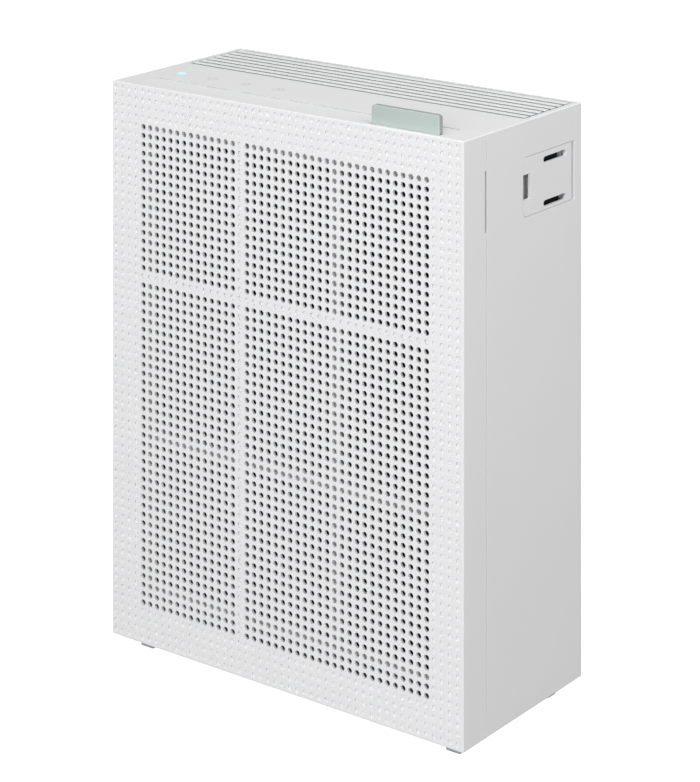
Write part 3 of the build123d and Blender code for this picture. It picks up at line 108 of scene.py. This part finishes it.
class Finish:
    """One material, and the one way its nodes are made."""

    def __init__(self, name):
        self.material = bpy.data.materials.new(name)
        self.material.use_nodes = True
        self.tree = self.material.node_tree
        self.shader = self.tree.nodes["Principled BSDF"]
        self.place = self.node("ShaderNodeTexCoord", out="Object")

    def node(self, kind, settings=None, values=None, out=0):
        made = self.tree.nodes.new(kind)
        for key, value in (settings or {}).items():
            setattr(made, key, value)
        for key, value in (values or {}).items():
            self.feed(made.inputs[key], value)
        return Wire(self, made.outputs[out])

    def feed(self, socket, value):
        if isinstance(value, Wire):
            self.tree.links.new(value.socket, socket)
        else:
            socket.default_value = value

    def noise(self, size, detail=2.0, stretch=(1, 1, 1)):
        """Noise whose lumps are about this size in millimetres."""
        place = self.node(
            "ShaderNodeMapping", {"vector_type": "POINT"}, {"Vector": self.place, "Scale": stretch}
        )
        values = {"Vector": place, "Scale": 1 / (size * MM), "Detail": detail}
        return self.node("ShaderNodeTexNoise", None, values)

    def mixed(self, share, first, second):
        """Colour between two colours by share."""
        settings = {"data_type": "RGBA"}
        return self.node("ShaderNodeMix", settings, {0: share, 6: first, 7: second}, out=2)

    def bump(self, height, depth, strength=1.0):
        """Relief of this depth in millimetres."""
        values = {"Height": height, "Distance": depth * MM, "Strength": strength}
        return self.node("ShaderNodeBump", None, values)

    def set(self, **values):
        for key, value in values.items():
            self.feed(self.shader.inputs[key.replace("_", " ")], value)
        return self.material


def tint(red, green, blue):
    """Linear colour from display values between 0 and 255."""
    return tuple(
        (v / 255 / 12.92) if v <= 10 else ((v / 255 + 0.055) / 1.055) ** 2.4
        for v in (red, green, blue)
    ) + (1.0,)


def moulded(name, colour, rough, grain=0.9, depth=0.012, patchy=0.007):
    """Moulded plastic: spark-eroded grain, faint flow patches and uneven gloss."""
    finish = Finish(name)
    fine = finish.noise(grain, 3.0)
    patches = finish.noise(70, 3.0)
    rubbed = finish.noise(9, 4.0)
    dark = tuple(c * (1 - 2 * patchy) for c in colour[:3]) + (1.0,)
    share = patches.above(0.5, 0.25) * 0.8 + fine * 0.2
    return finish.set(
        Specular_IOR_Level=0.32,
        Base_Color=finish.mixed(share, dark, colour),
        Roughness=rubbed * 0.10 + fine * 0.06 + (rough - 0.08),
        Normal=finish.bump(fine, depth),
    )


def moulded_with_painted_shade(name, colour, painted_shade_colour, top, depth):
    """Moulded plastic with painted shade: its colour darkens within this depth below a level, in
    millimetres, where its gaps lie in shade.
    """
    finish = Finish(name)
    grit = finish.noise(0.7, 3.0)
    clouds = finish.noise(40, 3.0)
    split = finish.node("ShaderNodeSeparateXYZ", None, {"Vector": finish.place}, out="Z")
    # painted shade: 1 at the top, falling to 0 within the depth below it, where the gaps' shade is
    # painted in
    painted_shade_mask = split.above((top - depth / 2) * MM, depth / 2 * MM)
    return finish.set(
        Specular_IOR_Level=0.3,
        Base_Color=finish.mixed(painted_shade_mask * (clouds * 0.04 + 0.98), painted_shade_colour, colour),
        Roughness=grit * 0.08 + clouds * 0.08 + 0.47,
        Normal=finish.bump(grit, 0.012),
    )


def brushed(name, colour, rough, stretch=(1, 12, 1)):
    """Turned or drawn metal with fine lines."""
    finish = Finish(name)
    lines = finish.noise(0.8, 4.0, stretch)
    dull = finish.noise(12, 3.0)
    darker = tuple(c * 0.78 for c in colour[:3]) + (1.0,)
    return finish.set(
        Base_Color=finish.mixed(dull, darker, colour),
        Metallic=1.0,
        Roughness=lines * 0.16 + dull * 0.1 + (rough - 0.12),
        Normal=finish.bump(lines, 0.01),
    )


def woven(name, colour, pitch):
    """Plain-woven threads at this pitch in millimetres."""
    finish = Finish(name)
    split = finish.node("ShaderNodeSeparateXYZ", None, {"Vector": finish.place})
    across = Wire(finish, split.socket.node.outputs["X"])
    up = Wire(finish, split.socket.node.outputs["Z"])
    turn = 2 * math.pi / (pitch * MM)
    warp = across.maths("SINE", across * turn)
    weft = up.maths("SINE", up * turn)
    thread = warp.maths("MAXIMUM", warp, weft)
    dull = finish.noise(20, 3.0)
    light = tuple(min(1.0, c * 1.5 + 0.004) for c in colour[:3]) + (1.0,)
    return finish.set(
        Base_Color=finish.mixed(thread * 0.5 + dull * 0.4, colour, light),
        Roughness=0.55 + dull * 0.3,
        Normal=finish.bump(thread, 0.15),
    )


def paper(name, colour):
    """Pleated filter paper with pressed fibres."""
    finish = Finish(name)
    fibres = finish.noise(1.6, 6.0, (1, 1, 0.2))
    clouds = finish.noise(25, 4.0)
    darker = tuple(c * 0.86 for c in colour[:3]) + (1.0,)
    return finish.set(
        Base_Color=finish.mixed(fibres * 0.6 + clouds * 0.4, darker, colour),
        Roughness=0.85 + fibres * 0.1,
        Normal=finish.bump(fibres, 0.08),
    )


def spongy(name, colour):
    """Open-cell foam or pressed carbon fleece."""
    finish = Finish(name)
    values = {"Vector": finish.place, "Scale": CELLS_PER_METRE}
    cells = finish.node("ShaderNodeTexVoronoi", None, values)
    clouds = finish.noise(15, 3.0)
    darker = tuple(c * 0.5 for c in colour[:3]) + (1.0,)
    return finish.set(
        Base_Color=finish.mixed(cells.above(0.35, 0.3) * 0.7 + clouds * 0.3, darker, colour),
        Roughness=0.9 + cells * 0.08,
        Normal=finish.bump(cells, 0.25),
    )


def rubber(name, colour):
    """Dull rubber or lead sleeve with a little dust."""
    finish = Finish(name)
    grit = finish.noise(0.5, 4.0)
    dust = finish.noise(6, 4.0)
    dusty = tuple(c * 1.25 + 0.01 for c in colour[:3]) + (1.0,)
    return finish.set(
        Base_Color=finish.mixed(dust.above(0.55, 0.2), colour, dusty),
        Roughness=0.7 + grit * 0.2,
        Normal=finish.bump(grit, 0.03),
    )


def circuit(name, colour):
    """Solder mask with faint copper tracks under it."""
    finish = Finish(name)
    values = {"Vector": finish.place, "Scale": TRACKS_PER_METRE}
    tracks = finish.node("ShaderNodeTexBrick", {"offset": 0.3}, values, out="Fac")
    cloud = finish.noise(8, 2.0)
    lighter = tuple(c * 1.8 for c in colour[:3]) + (1.0,)
    return finish.set(
        Base_Color=finish.mixed(tracks * 0.8 + cloud * 0.2, colour, lighter),
        Roughness=0.3 + cloud * 0.15,
        Normal=finish.bump(tracks, 0.03),
    )


def lit_lens(name, colour):
    """Clear moulded lens that glows evenly from behind."""
    finish = Finish(name)
    cloud = finish.noise(2.5, 2.0)
    paler = tuple(min(1.0, c * 1.06 + 0.01) for c in colour[:3]) + (1.0,)
    return finish.set(
        Emission_Strength=0.8,
        Base_Color=finish.mixed(cloud, tint(60, 110, 118), tint(84, 132, 140)),
        Emission_Color=finish.mixed(cloud * 0.5, colour, paler),
        Roughness=0.3 + cloud * 0.1,
        Normal=finish.bump(cloud, 0.02),
    )


def smoked(name, colour):
    """Glossy dark lens with a faint moulded ripple."""
    finish = Finish(name)
    ripple = finish.noise(4, 2.0)
    lighter = tuple(c * 1.4 + 0.01 for c in colour[:3]) + (1.0,)
    return finish.set(
        Base_Color=finish.mixed(ripple, colour, lighter),
        Roughness=0.12 + ripple * 0.12,
        Normal=finish.bump(ripple, 0.02),
    )


def low_high(node):
    """The node's lowest and highest corner in millimetres."""
    low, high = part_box(node)
    return low / MM, high / MM


SHELL = tint(235, 235, 236)
PAINTED_SHADE_START = low_high("outlet_louvre")[1].z - 0.02  # the louvre's colour takes painted shade below this level
SHADE_DEPTH = 1.0
FINISHES = {
    "case_white": moulded("moulded_white_case", SHELL, 0.52),
    "grille_white": moulded("moulded_white_grille", SHELL, 0.50),
    "louvre_white": moulded_with_painted_shade(
        "moulded_white_louvre_painted_shade",
        tint(238, 239, 239),
        # painted shade: the colour the louvre takes deep in its gaps
        tint(150, 154, 155),
        PAINTED_SHADE_START,
        SHADE_DEPTH,
    ),
    "tab_mint": moulded("moulded_mint_tab", tint(183, 195, 190), 0.46, grain=0.6, depth=0.02),
    "filter_frame_white": moulded("moulded_filter_frame", tint(216, 218, 216), 0.6),
    "inner_grey": moulded("moulded_inner_grey", tint(120, 123, 126), 0.6),
    "inner_black": moulded("moulded_inner_black", tint(26, 27, 29), 0.5),
    "fan_black": moulded("moulded_fan_black", tint(34, 35, 38), 0.42),
    "parts_black": moulded("moulded_board_parts", tint(30, 30, 34), 0.45, grain=0.4),
    "foot_grey": rubber("foot_grey_rubber", tint(158, 161, 163)),
    "mesh_dark": woven("dark_woven_screen", tint(24, 25, 27), 1.3),
    "strap_cloth": woven("strap_webbing", tint(196, 198, 196), 0.9),
    "media_white": paper("pleated_paper", tint(236, 238, 234)),
    "seal_foam": spongy("grey_seal_foam", tint(92, 94, 96)),
    "carbon_black": spongy("carbon_fleece", tint(30, 31, 32)),
    "brass": brushed("turned_brass", tint(206, 172, 104), 0.34),
    "steel": brushed("ground_steel", tint(190, 192, 196), 0.28),
    "zinc_steel": brushed("zinc_screw_steel", tint(196, 198, 198), 0.36, (1, 1, 1)),
    "stator_steel": brushed("stacked_stator_steel", tint(120, 122, 128), 0.5, (1, 18, 1)),
    "board_green": circuit("green_circuit_board", tint(22, 78, 48)),
    "light_clear": lit_lens("glowing_lens", tint(178, 246, 255)),
    "lens_clear": smoked("pale_sensor_lens", tint(176, 180, 184)),
    "lead_black": rubber("black_lead_sleeve", tint(24, 24, 26)),
    "lead_grey": rubber("grey_lead_sleeve", tint(120, 122, 126)),
}
PRINT_GREY = moulded("printed_grey_ink", tint(176, 181, 186), 0.5, grain=0.3, depth=0.002)
TAB_GREY = moulded("moulded_tab_core", tint(158, 164, 162), 0.5, grain=0.6)
SEAM_GREY = rubber("grey_seam_rubber", tint(192, 195, 196))


# ---------------------------------------------------------------- making pieces
JOIN_MADE = 0.002  # corners this close are joined, in a mesh made here
JOIN_NODE = 0.004  # and in a mesh taken from a node
FLAT_ANGLE = 1.0  # faces of a node that meet within these degrees become one
EDGE_STEPS = 3
ARC_STEPS = 5


def as_mesh(name, corners, faces):
    """Mesh from corners in millimetres, with corners that coincide joined."""
    mesh = bpy.data.meshes.new(name)
    mesh.from_pydata([Vector(c) * MM for c in corners], [], faces)
    form = bmesh.new()
    form.from_mesh(mesh)
    bmesh.ops.remove_doubles(form, verts=form.verts, dist=JOIN_MADE * MM)
    bmesh.ops.recalc_face_normals(form, faces=form.faces)
    form.to_mesh(mesh)
    form.free()
    return mesh


def place(name, mesh, body, slot, stands_for=(), soften=0.0, crease=32, material=None):
    """Put a piece in the scene: finish, soft edges, the body it rides on and the nodes it hides."""
    piece = bpy.data.objects.new(name, mesh)
    bpy.context.scene.collection.objects.link(piece)
    mesh.materials.clear()
    mesh.materials.append(material or FINISHES[slot])
    for face in mesh.polygons:
        face.use_smooth = True
        face.material_index = 0
    mesh.set_sharp_from_angle(angle=math.radians(crease))
    if soften:
        edge = piece.modifiers.new("soft_edges", "BEVEL")
        edge.width = soften * MM
        edge.segments = EDGE_STEPS
        edge.limit_method = "ANGLE"
        edge.angle_limit = math.radians(crease)
        edge.use_clamp_overlap = False
        edge.harden_normals = True
        edge.miter_outer = "MITER_ARC"
        even = piece.modifiers.new("even_normals", "WEIGHTED_NORMAL")
        even.keep_sharp = True
        even.weight = 100
    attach(piece, body)
    if stands_for:
        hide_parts(*stands_for)
    return piece


def band_faces(rings, count):
    """Faces of a closed form whose rings have this many corners each."""
    faces = []
    for start in range(0, (rings - 1) * count, count):
        for i in range(count):
            j = (i + 1) % count
            faces.append([start + i, start + j, start + count + j, start + count + i])
    faces.append(list(range(count)))
    faces.append([(rings - 1) * count + i for i in range(count)])
    return faces


def block(name, x, y, z):
    """Plain box between its low and high x, y and z."""
    return as_mesh(
        name,
        [(a, b, c) for a in x for b in y for c in z],
        [[0, 1, 3, 2], [4, 6, 7, 5], [0, 4, 5, 1], [2, 3, 7, 6], [0, 2, 6, 4], [1, 5, 7, 3]],
    )


def moulding(node, soften):
    """A moulded piece on a node's own lines: facets merged and every edge softened."""
    source = frame["nodes"][node]
    mesh = source.data.copy()
    form = bmesh.new()
    form.from_mesh(mesh)
    bmesh.ops.remove_doubles(form, verts=form.verts, dist=JOIN_NODE * MM)
    bmesh.ops.dissolve_limit(
        form, angle_limit=math.radians(FLAT_ANGLE), verts=form.verts, edges=form.edges
    )
    form.to_mesh(mesh)
    form.free()
    name, body = node + "_moulding", source["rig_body"]
    return place(name, mesh, body, SLOT_OF[node], (node,), soften)


def quarter_turn():
    """Angles from 0 to 90 degrees in even steps, in radians."""
    return [math.radians(90 * i / ARC_STEPS) for i in range(ARC_STEPS + 1)]


def rounded_loop(half_x, half_z, radius, steps=8):
    """Points of a rounded rectangle in X and Z, counter-clockwise from the right."""
    points = []
    for quarter, (sx, sz) in enumerate(((1, 1), (-1, 1), (-1, -1), (1, -1))):
        for step in range(steps + 1):
            angle = math.radians(90 * (quarter + step / steps))
            points.append(
                (
                    sx * (half_x - radius) + radius * math.cos(angle),
                    sz * (half_z - radius) + radius * math.sin(angle),
                )
            )
    return points


# ---------------------------------------------------------------- perforated front
PITCH = 7.04
COLS = 48
ROWS = 63
BLIND = 4  # rows and columns of dimples along each edge
HOLE_R = 2.3
HOLE_EDGE = 0.03  # chamfer round the hole's mouth
HOLE_DRAFT = 0.05  # how much narrower the hole's radius is at its end
DIMPLE_DEPTH = 1.5
HOLE_SIDES = 12
LIP_R = 0.5
RIB_COL = 18  # the column and the row whose holes a stiffening rib closes behind the plate
RIB_ROW = 41
RIB_DEPTH = 2.1
CORNER_R = 1.0

grille_low, grille_high = low_high("front_grille")
front_y, grille_back_y = grille_low.y, grille_high.y
mid_z = (grille_low.z + grille_high.z) / 2
half_w = (grille_high.x - grille_low.x) / 2
half_h = (grille_high.z - grille_low.z) / 2


def hole_ring(x, z, radius, y):
    """Corners of a hole's circle at one depth."""
    turn = 2 * math.pi / HOLE_SIDES
    return [
        (x + radius * math.cos(turn * i), y, z + radius * math.sin(turn * i))
        for i in range(HOLE_SIDES)
    ]


def cell(corners, faces, x, z, depth):
    """One square of the front with its round hole, or its blind dimple of a given depth."""
    start = len(corners)
    h = PITCH / 2
    square = [(h, 0), (h, h), (0, h), (-h, h), (-h, 0), (-h, -h), (0, -h), (h, -h)]
    is_open = depth is None
    floor_y = grille_back_y if is_open else front_y + depth
    rings = (
        (HOLE_R + HOLE_EDGE, front_y),
        (HOLE_R, front_y + HOLE_EDGE),
        (HOLE_R - HOLE_DRAFT, floor_y),
    )
    corners.extend((x + dx, front_y, z + dz) for dx, dz in square)
    corners.extend((x + dx, grille_back_y, z + dz) for dx, dz in square)
    for radius, y in rings:
        corners.extend(hole_ring(x, z, radius, y))
    front, back, first = start, start + 8, start + 16
    quarter = HOLE_SIDES // 4
    last = first + 2 * HOLE_SIDES
    for q in range(4):
        edge = [2 * q, 2 * q + 1, (2 * q + 2) % 8]
        arc = [(quarter * q + i) % HOLE_SIDES for i in range(quarter, -1, -1)]
        faces.append([front + e for e in edge] + [first + a for a in arc])
        if is_open:
            faces.append(([back + e for e in edge] + [last + a for a in arc])[::-1])
    for ring in range(2):
        a0 = first + ring * HOLE_SIDES
        for i in range(HOLE_SIDES):
            j = (i + 1) % HOLE_SIDES
            faces.append([a0 + i, a0 + j, a0 + HOLE_SIDES + j, a0 + HOLE_SIDES + i])
    if not is_open:
        faces.append([last + i for i in range(HOLE_SIDES)])
        faces.append([back + i for i in range(8)])


field = ([], [])
border = ([], [])
for col in range(COLS):
    for row in range(ROWS):
        inside = BLIND <= col < COLS - BLIND and BLIND <= row < ROWS - BLIND
        on_rib = col == RIB_COL or row == RIB_ROW
        cell(
            *(field if inside else border),
            (col - (COLS - 1) / 2) * PITCH,
            mid_z + (row - (ROWS - 1) / 2) * PITCH,
            (RIB_DEPTH if on_rib else None) if inside else DIMPLE_DEPTH,
        )
field_mesh = as_mesh("grille_field", *field)
place("grille_field", field_mesh, "front_cover", "grille_white", ["front_grille"])


SAME_PLACE = 1e-6  # metres


def rim_of_front(mesh):
    """Add the flat margin round the dimples, the rounded outer edge and the plate's sides."""
    form = bmesh.new()
    form.from_mesh(mesh)
    outer_x, outer_z = COLS * PITCH / 2, ROWS * PITCH / 2

    def on_outline(edge, y):
        return edge.is_boundary and all(
            abs(v.co.y - y * MM) < SAME_PLACE
            and (
                abs(abs(v.co.x) - outer_x * MM) < SAME_PLACE
                or abs(abs(v.co.z - mid_z * MM) - outer_z * MM) < SAME_PLACE
            )
            for v in edge.verts
        )

    profile = [(LIP_R * (1 - math.sin(a)), LIP_R * (1 - math.cos(a))) for a in quarter_turn()]
    rings = [(inset, front_y + back) for inset, back in profile] + [(0.0, grille_back_y)]
    loops = []
    for inset, y in rings:
        points = rounded_loop(half_w - inset, half_h - inset, CORNER_R - inset)
        loops.append([form.verts.new((x * MM, y * MM, (mid_z + z) * MM)) for x, z in points])
    for near, far in zip(loops, loops[1:]):
        for i in range(len(near)):
            j = (i + 1) % len(near)
            form.faces.new((near[i], near[j], far[j], far[i]))
    for loop, y in ((loops[0], front_y), (loops[-1], grille_back_y)):
        edges = [e for e in form.edges if on_outline(e, y)]
        for i in range(len(loop)):
            pair = (loop[i], loop[(i + 1) % len(loop)])
            edges.append(form.edges.get(pair) or form.edges.new(pair))
        bmesh.ops.triangle_fill(form, edges=edges, use_beauty=True)
    bmesh.ops.recalc_face_normals(form, faces=form.faces)
    form.to_mesh(mesh)
    form.free()
    return mesh


rim = rim_of_front(as_mesh("grille_rim", *border))
place("grille_rim", rim, "front_cover", "grille_white", crease=40)

# ---------------------------------------------------------------- mouldings on the nodes' own lines
SOFT_EDGE = {
    "cover_frame": 0.12,
    "rear_case": 0.12,
    "prefilter_frame": 0.10,
    "outlet_louvre": 0.20,
    "sensor_door": 0.15,
    "sensor_body": 0.30,
    "power_inlet": 0.50,
    "foot_front_left": 0.50,
    "foot_front_right": 0.50,
    "foot_rear_left": 0.50,
    "foot_rear_right": 0.50,
}
for node, soften in SOFT_EDGE.items():
    moulding(node, soften)


# ---------------------------------------------------------------- pull tab
TAB_CORNER = 2.2
TAB_ROUND = 0.7
TAB_PLATE = 1.5  # the mint face plate; the rest is its grey core
TAB_BITE = 0.3  # how far the core reaches into the plate
CORE_INSET = 0.15


def tab_layer(name, near_y, far_y, inset, material, stands_for=()):
    """One layer of the flat pull tab, with a round along both of its faces."""
    low, high = low_high("prefilter_tab")
    x, z = (low.x + high.x) / 2, (low.z + high.z) / 2
    half_x, half_z = (high.x - low.x) / 2 - inset, (high.z - low.z) / 2 - inset
    arc = quarter_turn()
    round_r = min(TAB_ROUND, (far_y - near_y) / 2)
    rings = [(round_r * (1 - math.sin(a)), near_y + round_r * (1 - math.cos(a))) for a in arc]
    rings += [(round_r * (1 - math.cos(a)), far_y - round_r * (1 - math.sin(a))) for a in arc]
    corners = []
    for step, y in rings:
        loop = rounded_loop(half_x - step, half_z - step, TAB_CORNER - step)
        corners.extend((x + dx, y, z + dz) for dx, dz in loop)
    mesh = as_mesh(name, corners, band_faces(len(rings), len(loop)))
    return place(name, mesh, "prefilter", "tab_mint", stands_for, crease=40, material=material)


tab_low, tab_high = low_high("prefilter_tab")
plate_back_y = tab_low.y + TAB_PLATE
tab_layer(
    "tab_face_plate", tab_low.y, plate_back_y, 0.0, FINISHES["tab_mint"], ["prefilter_tab"]
)
tab_layer("tab_core", plate_back_y - TAB_BITE, tab_high.y, CORE_INSET, TAB_GREY)


# ---------------------------------------------------------------- seam bead and sensor surroundings
BEAD_Y = (0.12, 0.56)  # its front and back face, behind the pre-filter's bar
BEAD_Z = (1.2, 0.05)  # its low and high face, below the case's top
BEAD_END = 0.3  # it stops this far short of the bar's ends
bar_high = low_high("prefilter_frame")[1]
case_top_z = low_high("rear_case")[1].z
bead = block(
    "seam_bead",
    (-bar_high.x + BEAD_END, bar_high.x - BEAD_END),
    [bar_high.y + back for back in BEAD_Y],
    [case_top_z - drop for drop in BEAD_Z],
)
place("seam_bead", bead, "housing", "foot_grey", material=SEAM_GREY)

# A dark pad under the sensor is painted shade in the tray, and a wall behind the finger notch
# closes the tray.
TRAY_WALL = 1.6
PAD_BACK = 1.0  # sensor's front face to the pad's
POCKET_DEEP = (6.0, 5.0)  # the wall's two faces, behind the tray's rim
POCKET_GAP = 2.0  # pocket to the sensor
tray_low, tray_high = low_high("sensor_tray")
sensor_low, sensor_high = low_high("sensor_body")
# painted shade: a dark block fills the tray under the sensor
pad = block(
    "sensor_painted_shade_pad",
    (sensor_low.x, sensor_high.x - PAD_BACK),
    (sensor_low.y, sensor_high.y),
    (tray_low.z + TRAY_WALL, sensor_low.z),
)
place("sensor_painted_shade_pad", pad, "housing", "seal_foam", material=FINISHES["carbon_black"])
pocket = block(
    "finger_pocket",
    [tray_high.x - depth for depth in POCKET_DEEP],
    (tray_low.y + TRAY_WALL, sensor_low.y - POCKET_GAP),
    (tray_low.z + TRAY_WALL, tray_high.z - TRAY_WALL),
)
place("finger_pocket", pocket, "housing", "case_white")


# ---------------------------------------------------------------- light and printed symbols
LENS_CROWN = 0.15
DISC_SIDES = 40
DISC_EDGE = 0.25
DISC_CUT = 0.07  # how far the edge's middle lies inside a square corner
CROWN_RINGS = ((0.7, 0.45), (0.35, 0.1))  # share of the radius, share of the crown below the top


def disc(name, node, crown):
    """Round lens with a slightly crowned top and a soft edge."""
    low, high = low_high(node)
    x, y, radius = (low.x + high.x) / 2, (low.y + high.y) / 2, (high.x - low.x) / 2
    shoulder_z = high.z - crown
    profile = [
        (radius, low.z),
        (radius, shoulder_z - DISC_EDGE),
        (radius - DISC_CUT, shoulder_z - DISC_CUT),
        (radius - DISC_EDGE, shoulder_z),
    ]
    profile += [(radius * out, high.z - crown * drop) for out, drop in CROWN_RINGS]
    turns = [2 * math.pi * i / DISC_SIDES for i in range(DISC_SIDES)]
    corners = [(x + r * math.cos(a), y + r * math.sin(a), z) for r, z in profile for a in turns]
    faces = band_faces(len(profile), DISC_SIDES)
    return place(name, as_mesh(name, corners, faces), "housing", "light_clear", [node], crease=40)


disc("light_cap", "light_lens", LENS_CROWN)

SYMBOL_LINE = 0.55
SYMBOL_RISE = 0.03


def arc_points(x, y, radius, start, end, steps=36):
    """Points of an arc between two angles in degrees."""
    angles = [math.radians(start + (end - start) * i / steps) for i in range(steps + 1)]
    return [(x + radius * math.cos(a), y + radius * math.sin(a)) for a in angles]


def symbol(name, lines, top_z):
    """Thin printed lines standing a little above a level."""
    corners, faces = [], []
    for points in lines:
        start = len(corners)
        for i, (x, y) in enumerate(points):
            ahead = points[min(i + 1, len(points) - 1)]
            behind = points[max(i - 1, 0)]
            along = Vector((ahead[0] - behind[0], ahead[1] - behind[1])).normalized()
            side = Vector((-along.y, along.x)) * SYMBOL_LINE / 2
            for z in (top_z, top_z + SYMBOL_RISE):
                corners.append((x + side.x, y + side.y, z))
                corners.append((x - side.x, y - side.y, z))
        for i in range(len(points) - 1):
            a, b = start + 4 * i, start + 4 * i + 4
            for p, q in ((0, 1), (1, 3), (3, 2), (2, 0)):
                faces.append([a + p, a + q, b + q, b + p])
        end = start + 4 * (len(points) - 1)
        faces.append([start, start + 1, start + 3, start + 2])
        faces.append([end, end + 2, end + 3, end + 1])
    mesh = as_mesh(name, corners, faces)
    return place(name, mesh, "housing", "case_white", material=PRINT_GREY)


SPRING_R = 5.0
MIDDLE_SHARE = 0.5135  # the middle key's place between the first and the last
POWER_R = 4.0
POWER_ARC = (120, 420)  # degrees, open at the top
POWER_STEM = (1.2, 5.0)
PETAL_OUT = 2.2
PETAL_R = 1.9
PETAL_ARC = (-60, 200)
PETAL_STEPS = 20
CLOCK_R = 4.2
CLOCK_HANDS = ((0.0, 2.8), (0.0, 0.0), (2.0, -1.2))
springs_low, springs_high = low_high("touch_springs")
key_y = (springs_low.y + springs_high.y) / 2
first_x, last_x = springs_low.x + SPRING_R, springs_high.x - SPRING_R
middle_x = first_x + (last_x - first_x) * MIDDLE_SHARE
power = [
    arc_points(first_x, key_y, POWER_R, *POWER_ARC),
    [(first_x, key_y + up) for up in POWER_STEM],
]
petals = []
for turn in (0, 120, 240):
    outward = math.radians(90 + turn)
    petal_x = middle_x + PETAL_OUT * math.cos(outward)
    petal_y = key_y + PETAL_OUT * math.sin(outward)
    start, end = (turn + degrees for degrees in PETAL_ARC)
    petals.append(arc_points(petal_x, petal_y, PETAL_R, start, end, PETAL_STEPS))
clock = [
    arc_points(last_x, key_y, CLOCK_R, 0, 360),
    [(last_x + right, key_y + up) for right, up in CLOCK_HANDS],
]
symbol("power_symbol", power, case_top_z)
symbol("fan_symbol", petals, case_top_z)
symbol("timer_symbol", clock, case_top_z)

# ---------------------------------------------------------------- finishes of the nodes that stay
for node, kept in frame["nodes"].items():
    if not kept.hide_render:
        kept.data.materials.clear()
        kept.data.materials.append(FINISHES[SLOT_OF[node]])

# ---------------------------------------------------------------- floor, light and camera
FLOOR_HALF = 6000.0
FLOOR_GLOW = 0.78
ROOM_LIGHT = 0.33  # the room's level for light
ROOM_SEEN = 1.0  # and for the camera
WHITE = (1.0, 1.0, 1.0, 1.0)
floor_signs = ((-1, -1), (1, -1), (1, 1), (-1, 1))
floor_corners = [(sx * FLOOR_HALF, sy * FLOOR_HALF, 0) for sx, sy in floor_signs]
floor_mesh = as_mesh("floor", floor_corners, [[0, 1, 2, 3]])
floor = bpy.data.objects.new("floor", floor_mesh)
bpy.context.scene.collection.objects.link(floor)
pale_floor = moulded("pale_floor", tint(246, 246, 246), 0.8, depth=0.0, patchy=0.0)
floor_glow = pale_floor.node_tree.nodes["Principled BSDF"].inputs
floor_glow["Emission Color"].default_value = WHITE
floor_glow["Emission Strength"].default_value = FLOOR_GLOW
floor_mesh.materials.append(pale_floor)
floor.visible_diffuse = False
floor.visible_glossy = False

world = bpy.data.worlds.new("soft_room")
bpy.context.scene.world = world
world.use_nodes = True
room = world.node_tree
seen = room.nodes.new("ShaderNodeLightPath")
room_light = room.nodes["Background"]
room_light.inputs["Color"].default_value = WHITE
room_level = room.nodes.new("ShaderNodeMapRange")
room_level.inputs["To Min"].default_value = ROOM_LIGHT
room_level.inputs["To Max"].default_value = ROOM_SEEN
room.links.new(seen.outputs["Is Camera Ray"], room_level.inputs["Value"])
room.links.new(room_level.outputs["Result"], room_light.inputs["Strength"])


def softbox(name, at, aim, size, watts):
    """Rectangular lamp that the camera doesn't see, in metres and watts."""
    lamp = bpy.data.lights.new(name, "AREA")
    lamp.shape = "RECTANGLE"
    lamp.size, lamp.size_y = size
    lamp.energy = watts
    holder = bpy.data.objects.new(name, lamp)
    bpy.context.scene.collection.objects.link(holder)
    holder.location = at
    holder.rotation_mode = "QUATERNION"
    holder.rotation_quaternion = (Vector(aim) - Vector(at)).to_track_quat("-Z", "Y")
    holder.visible_camera = False


BOX_AIM = (0, 0, 0.24)
for name, at, size, watts in (
    ("front_softbox", (0.6, -3.0, 1.2), (2.6, 2.0), 61),
    ("key_softbox", (1.5, -1.9, 1.2), (1.0, 1.0), 2.6),
    ("top_softbox", (0.2, -0.2, 2.8), (2.4, 2.4), 23),
    ("top_right_softbox", (1.5, -0.3, 1.9), (1.0, 1.0), 9),
    ("right_softbox", (3.0, -1.2, 1.2), (1.6, 1.8), 23),
):
    softbox(name, at, BOX_AIM, size, watts)

# The camera looks down while its image plane stands upright, so upright edges stay parallel.
EYE = Vector((1.2615, -1.7117, 0.9132))
FORWARD = Vector((-0.6162, 0.7876, 0.0))
RIGHT = Vector((0.7876, 0.6162, 0.0))
UP = Vector((0.0, 0.0, 1.0))
AIM_RIGHT = 0.03147
AIM_DOWN = 0.3295
AIM = FORWARD + RIGHT * AIM_RIGHT - UP * AIM_DOWN
LENS = 130.1

camera_data = bpy.data.cameras.new("camera")
camera_data.sensor_width = 36.0
camera_data.lens = LENS
camera_data.clip_start, camera_data.clip_end = 0.05, 50.0
camera = bpy.data.objects.new("camera", camera_data)
bpy.context.scene.collection.objects.link(camera)
stand = bpy.data.objects.new("camera_stand", None)
bpy.context.scene.collection.objects.link(stand)
oblique = Matrix((RIGHT, UP, -AIM.normalized())).transposed().to_4x4()
oblique.translation = EYE
camera.parent = stand
camera.matrix_parent_inverse = oblique
bpy.context.scene.camera = camera
bpy.context.scene.view_settings.view_transform = "Standard"
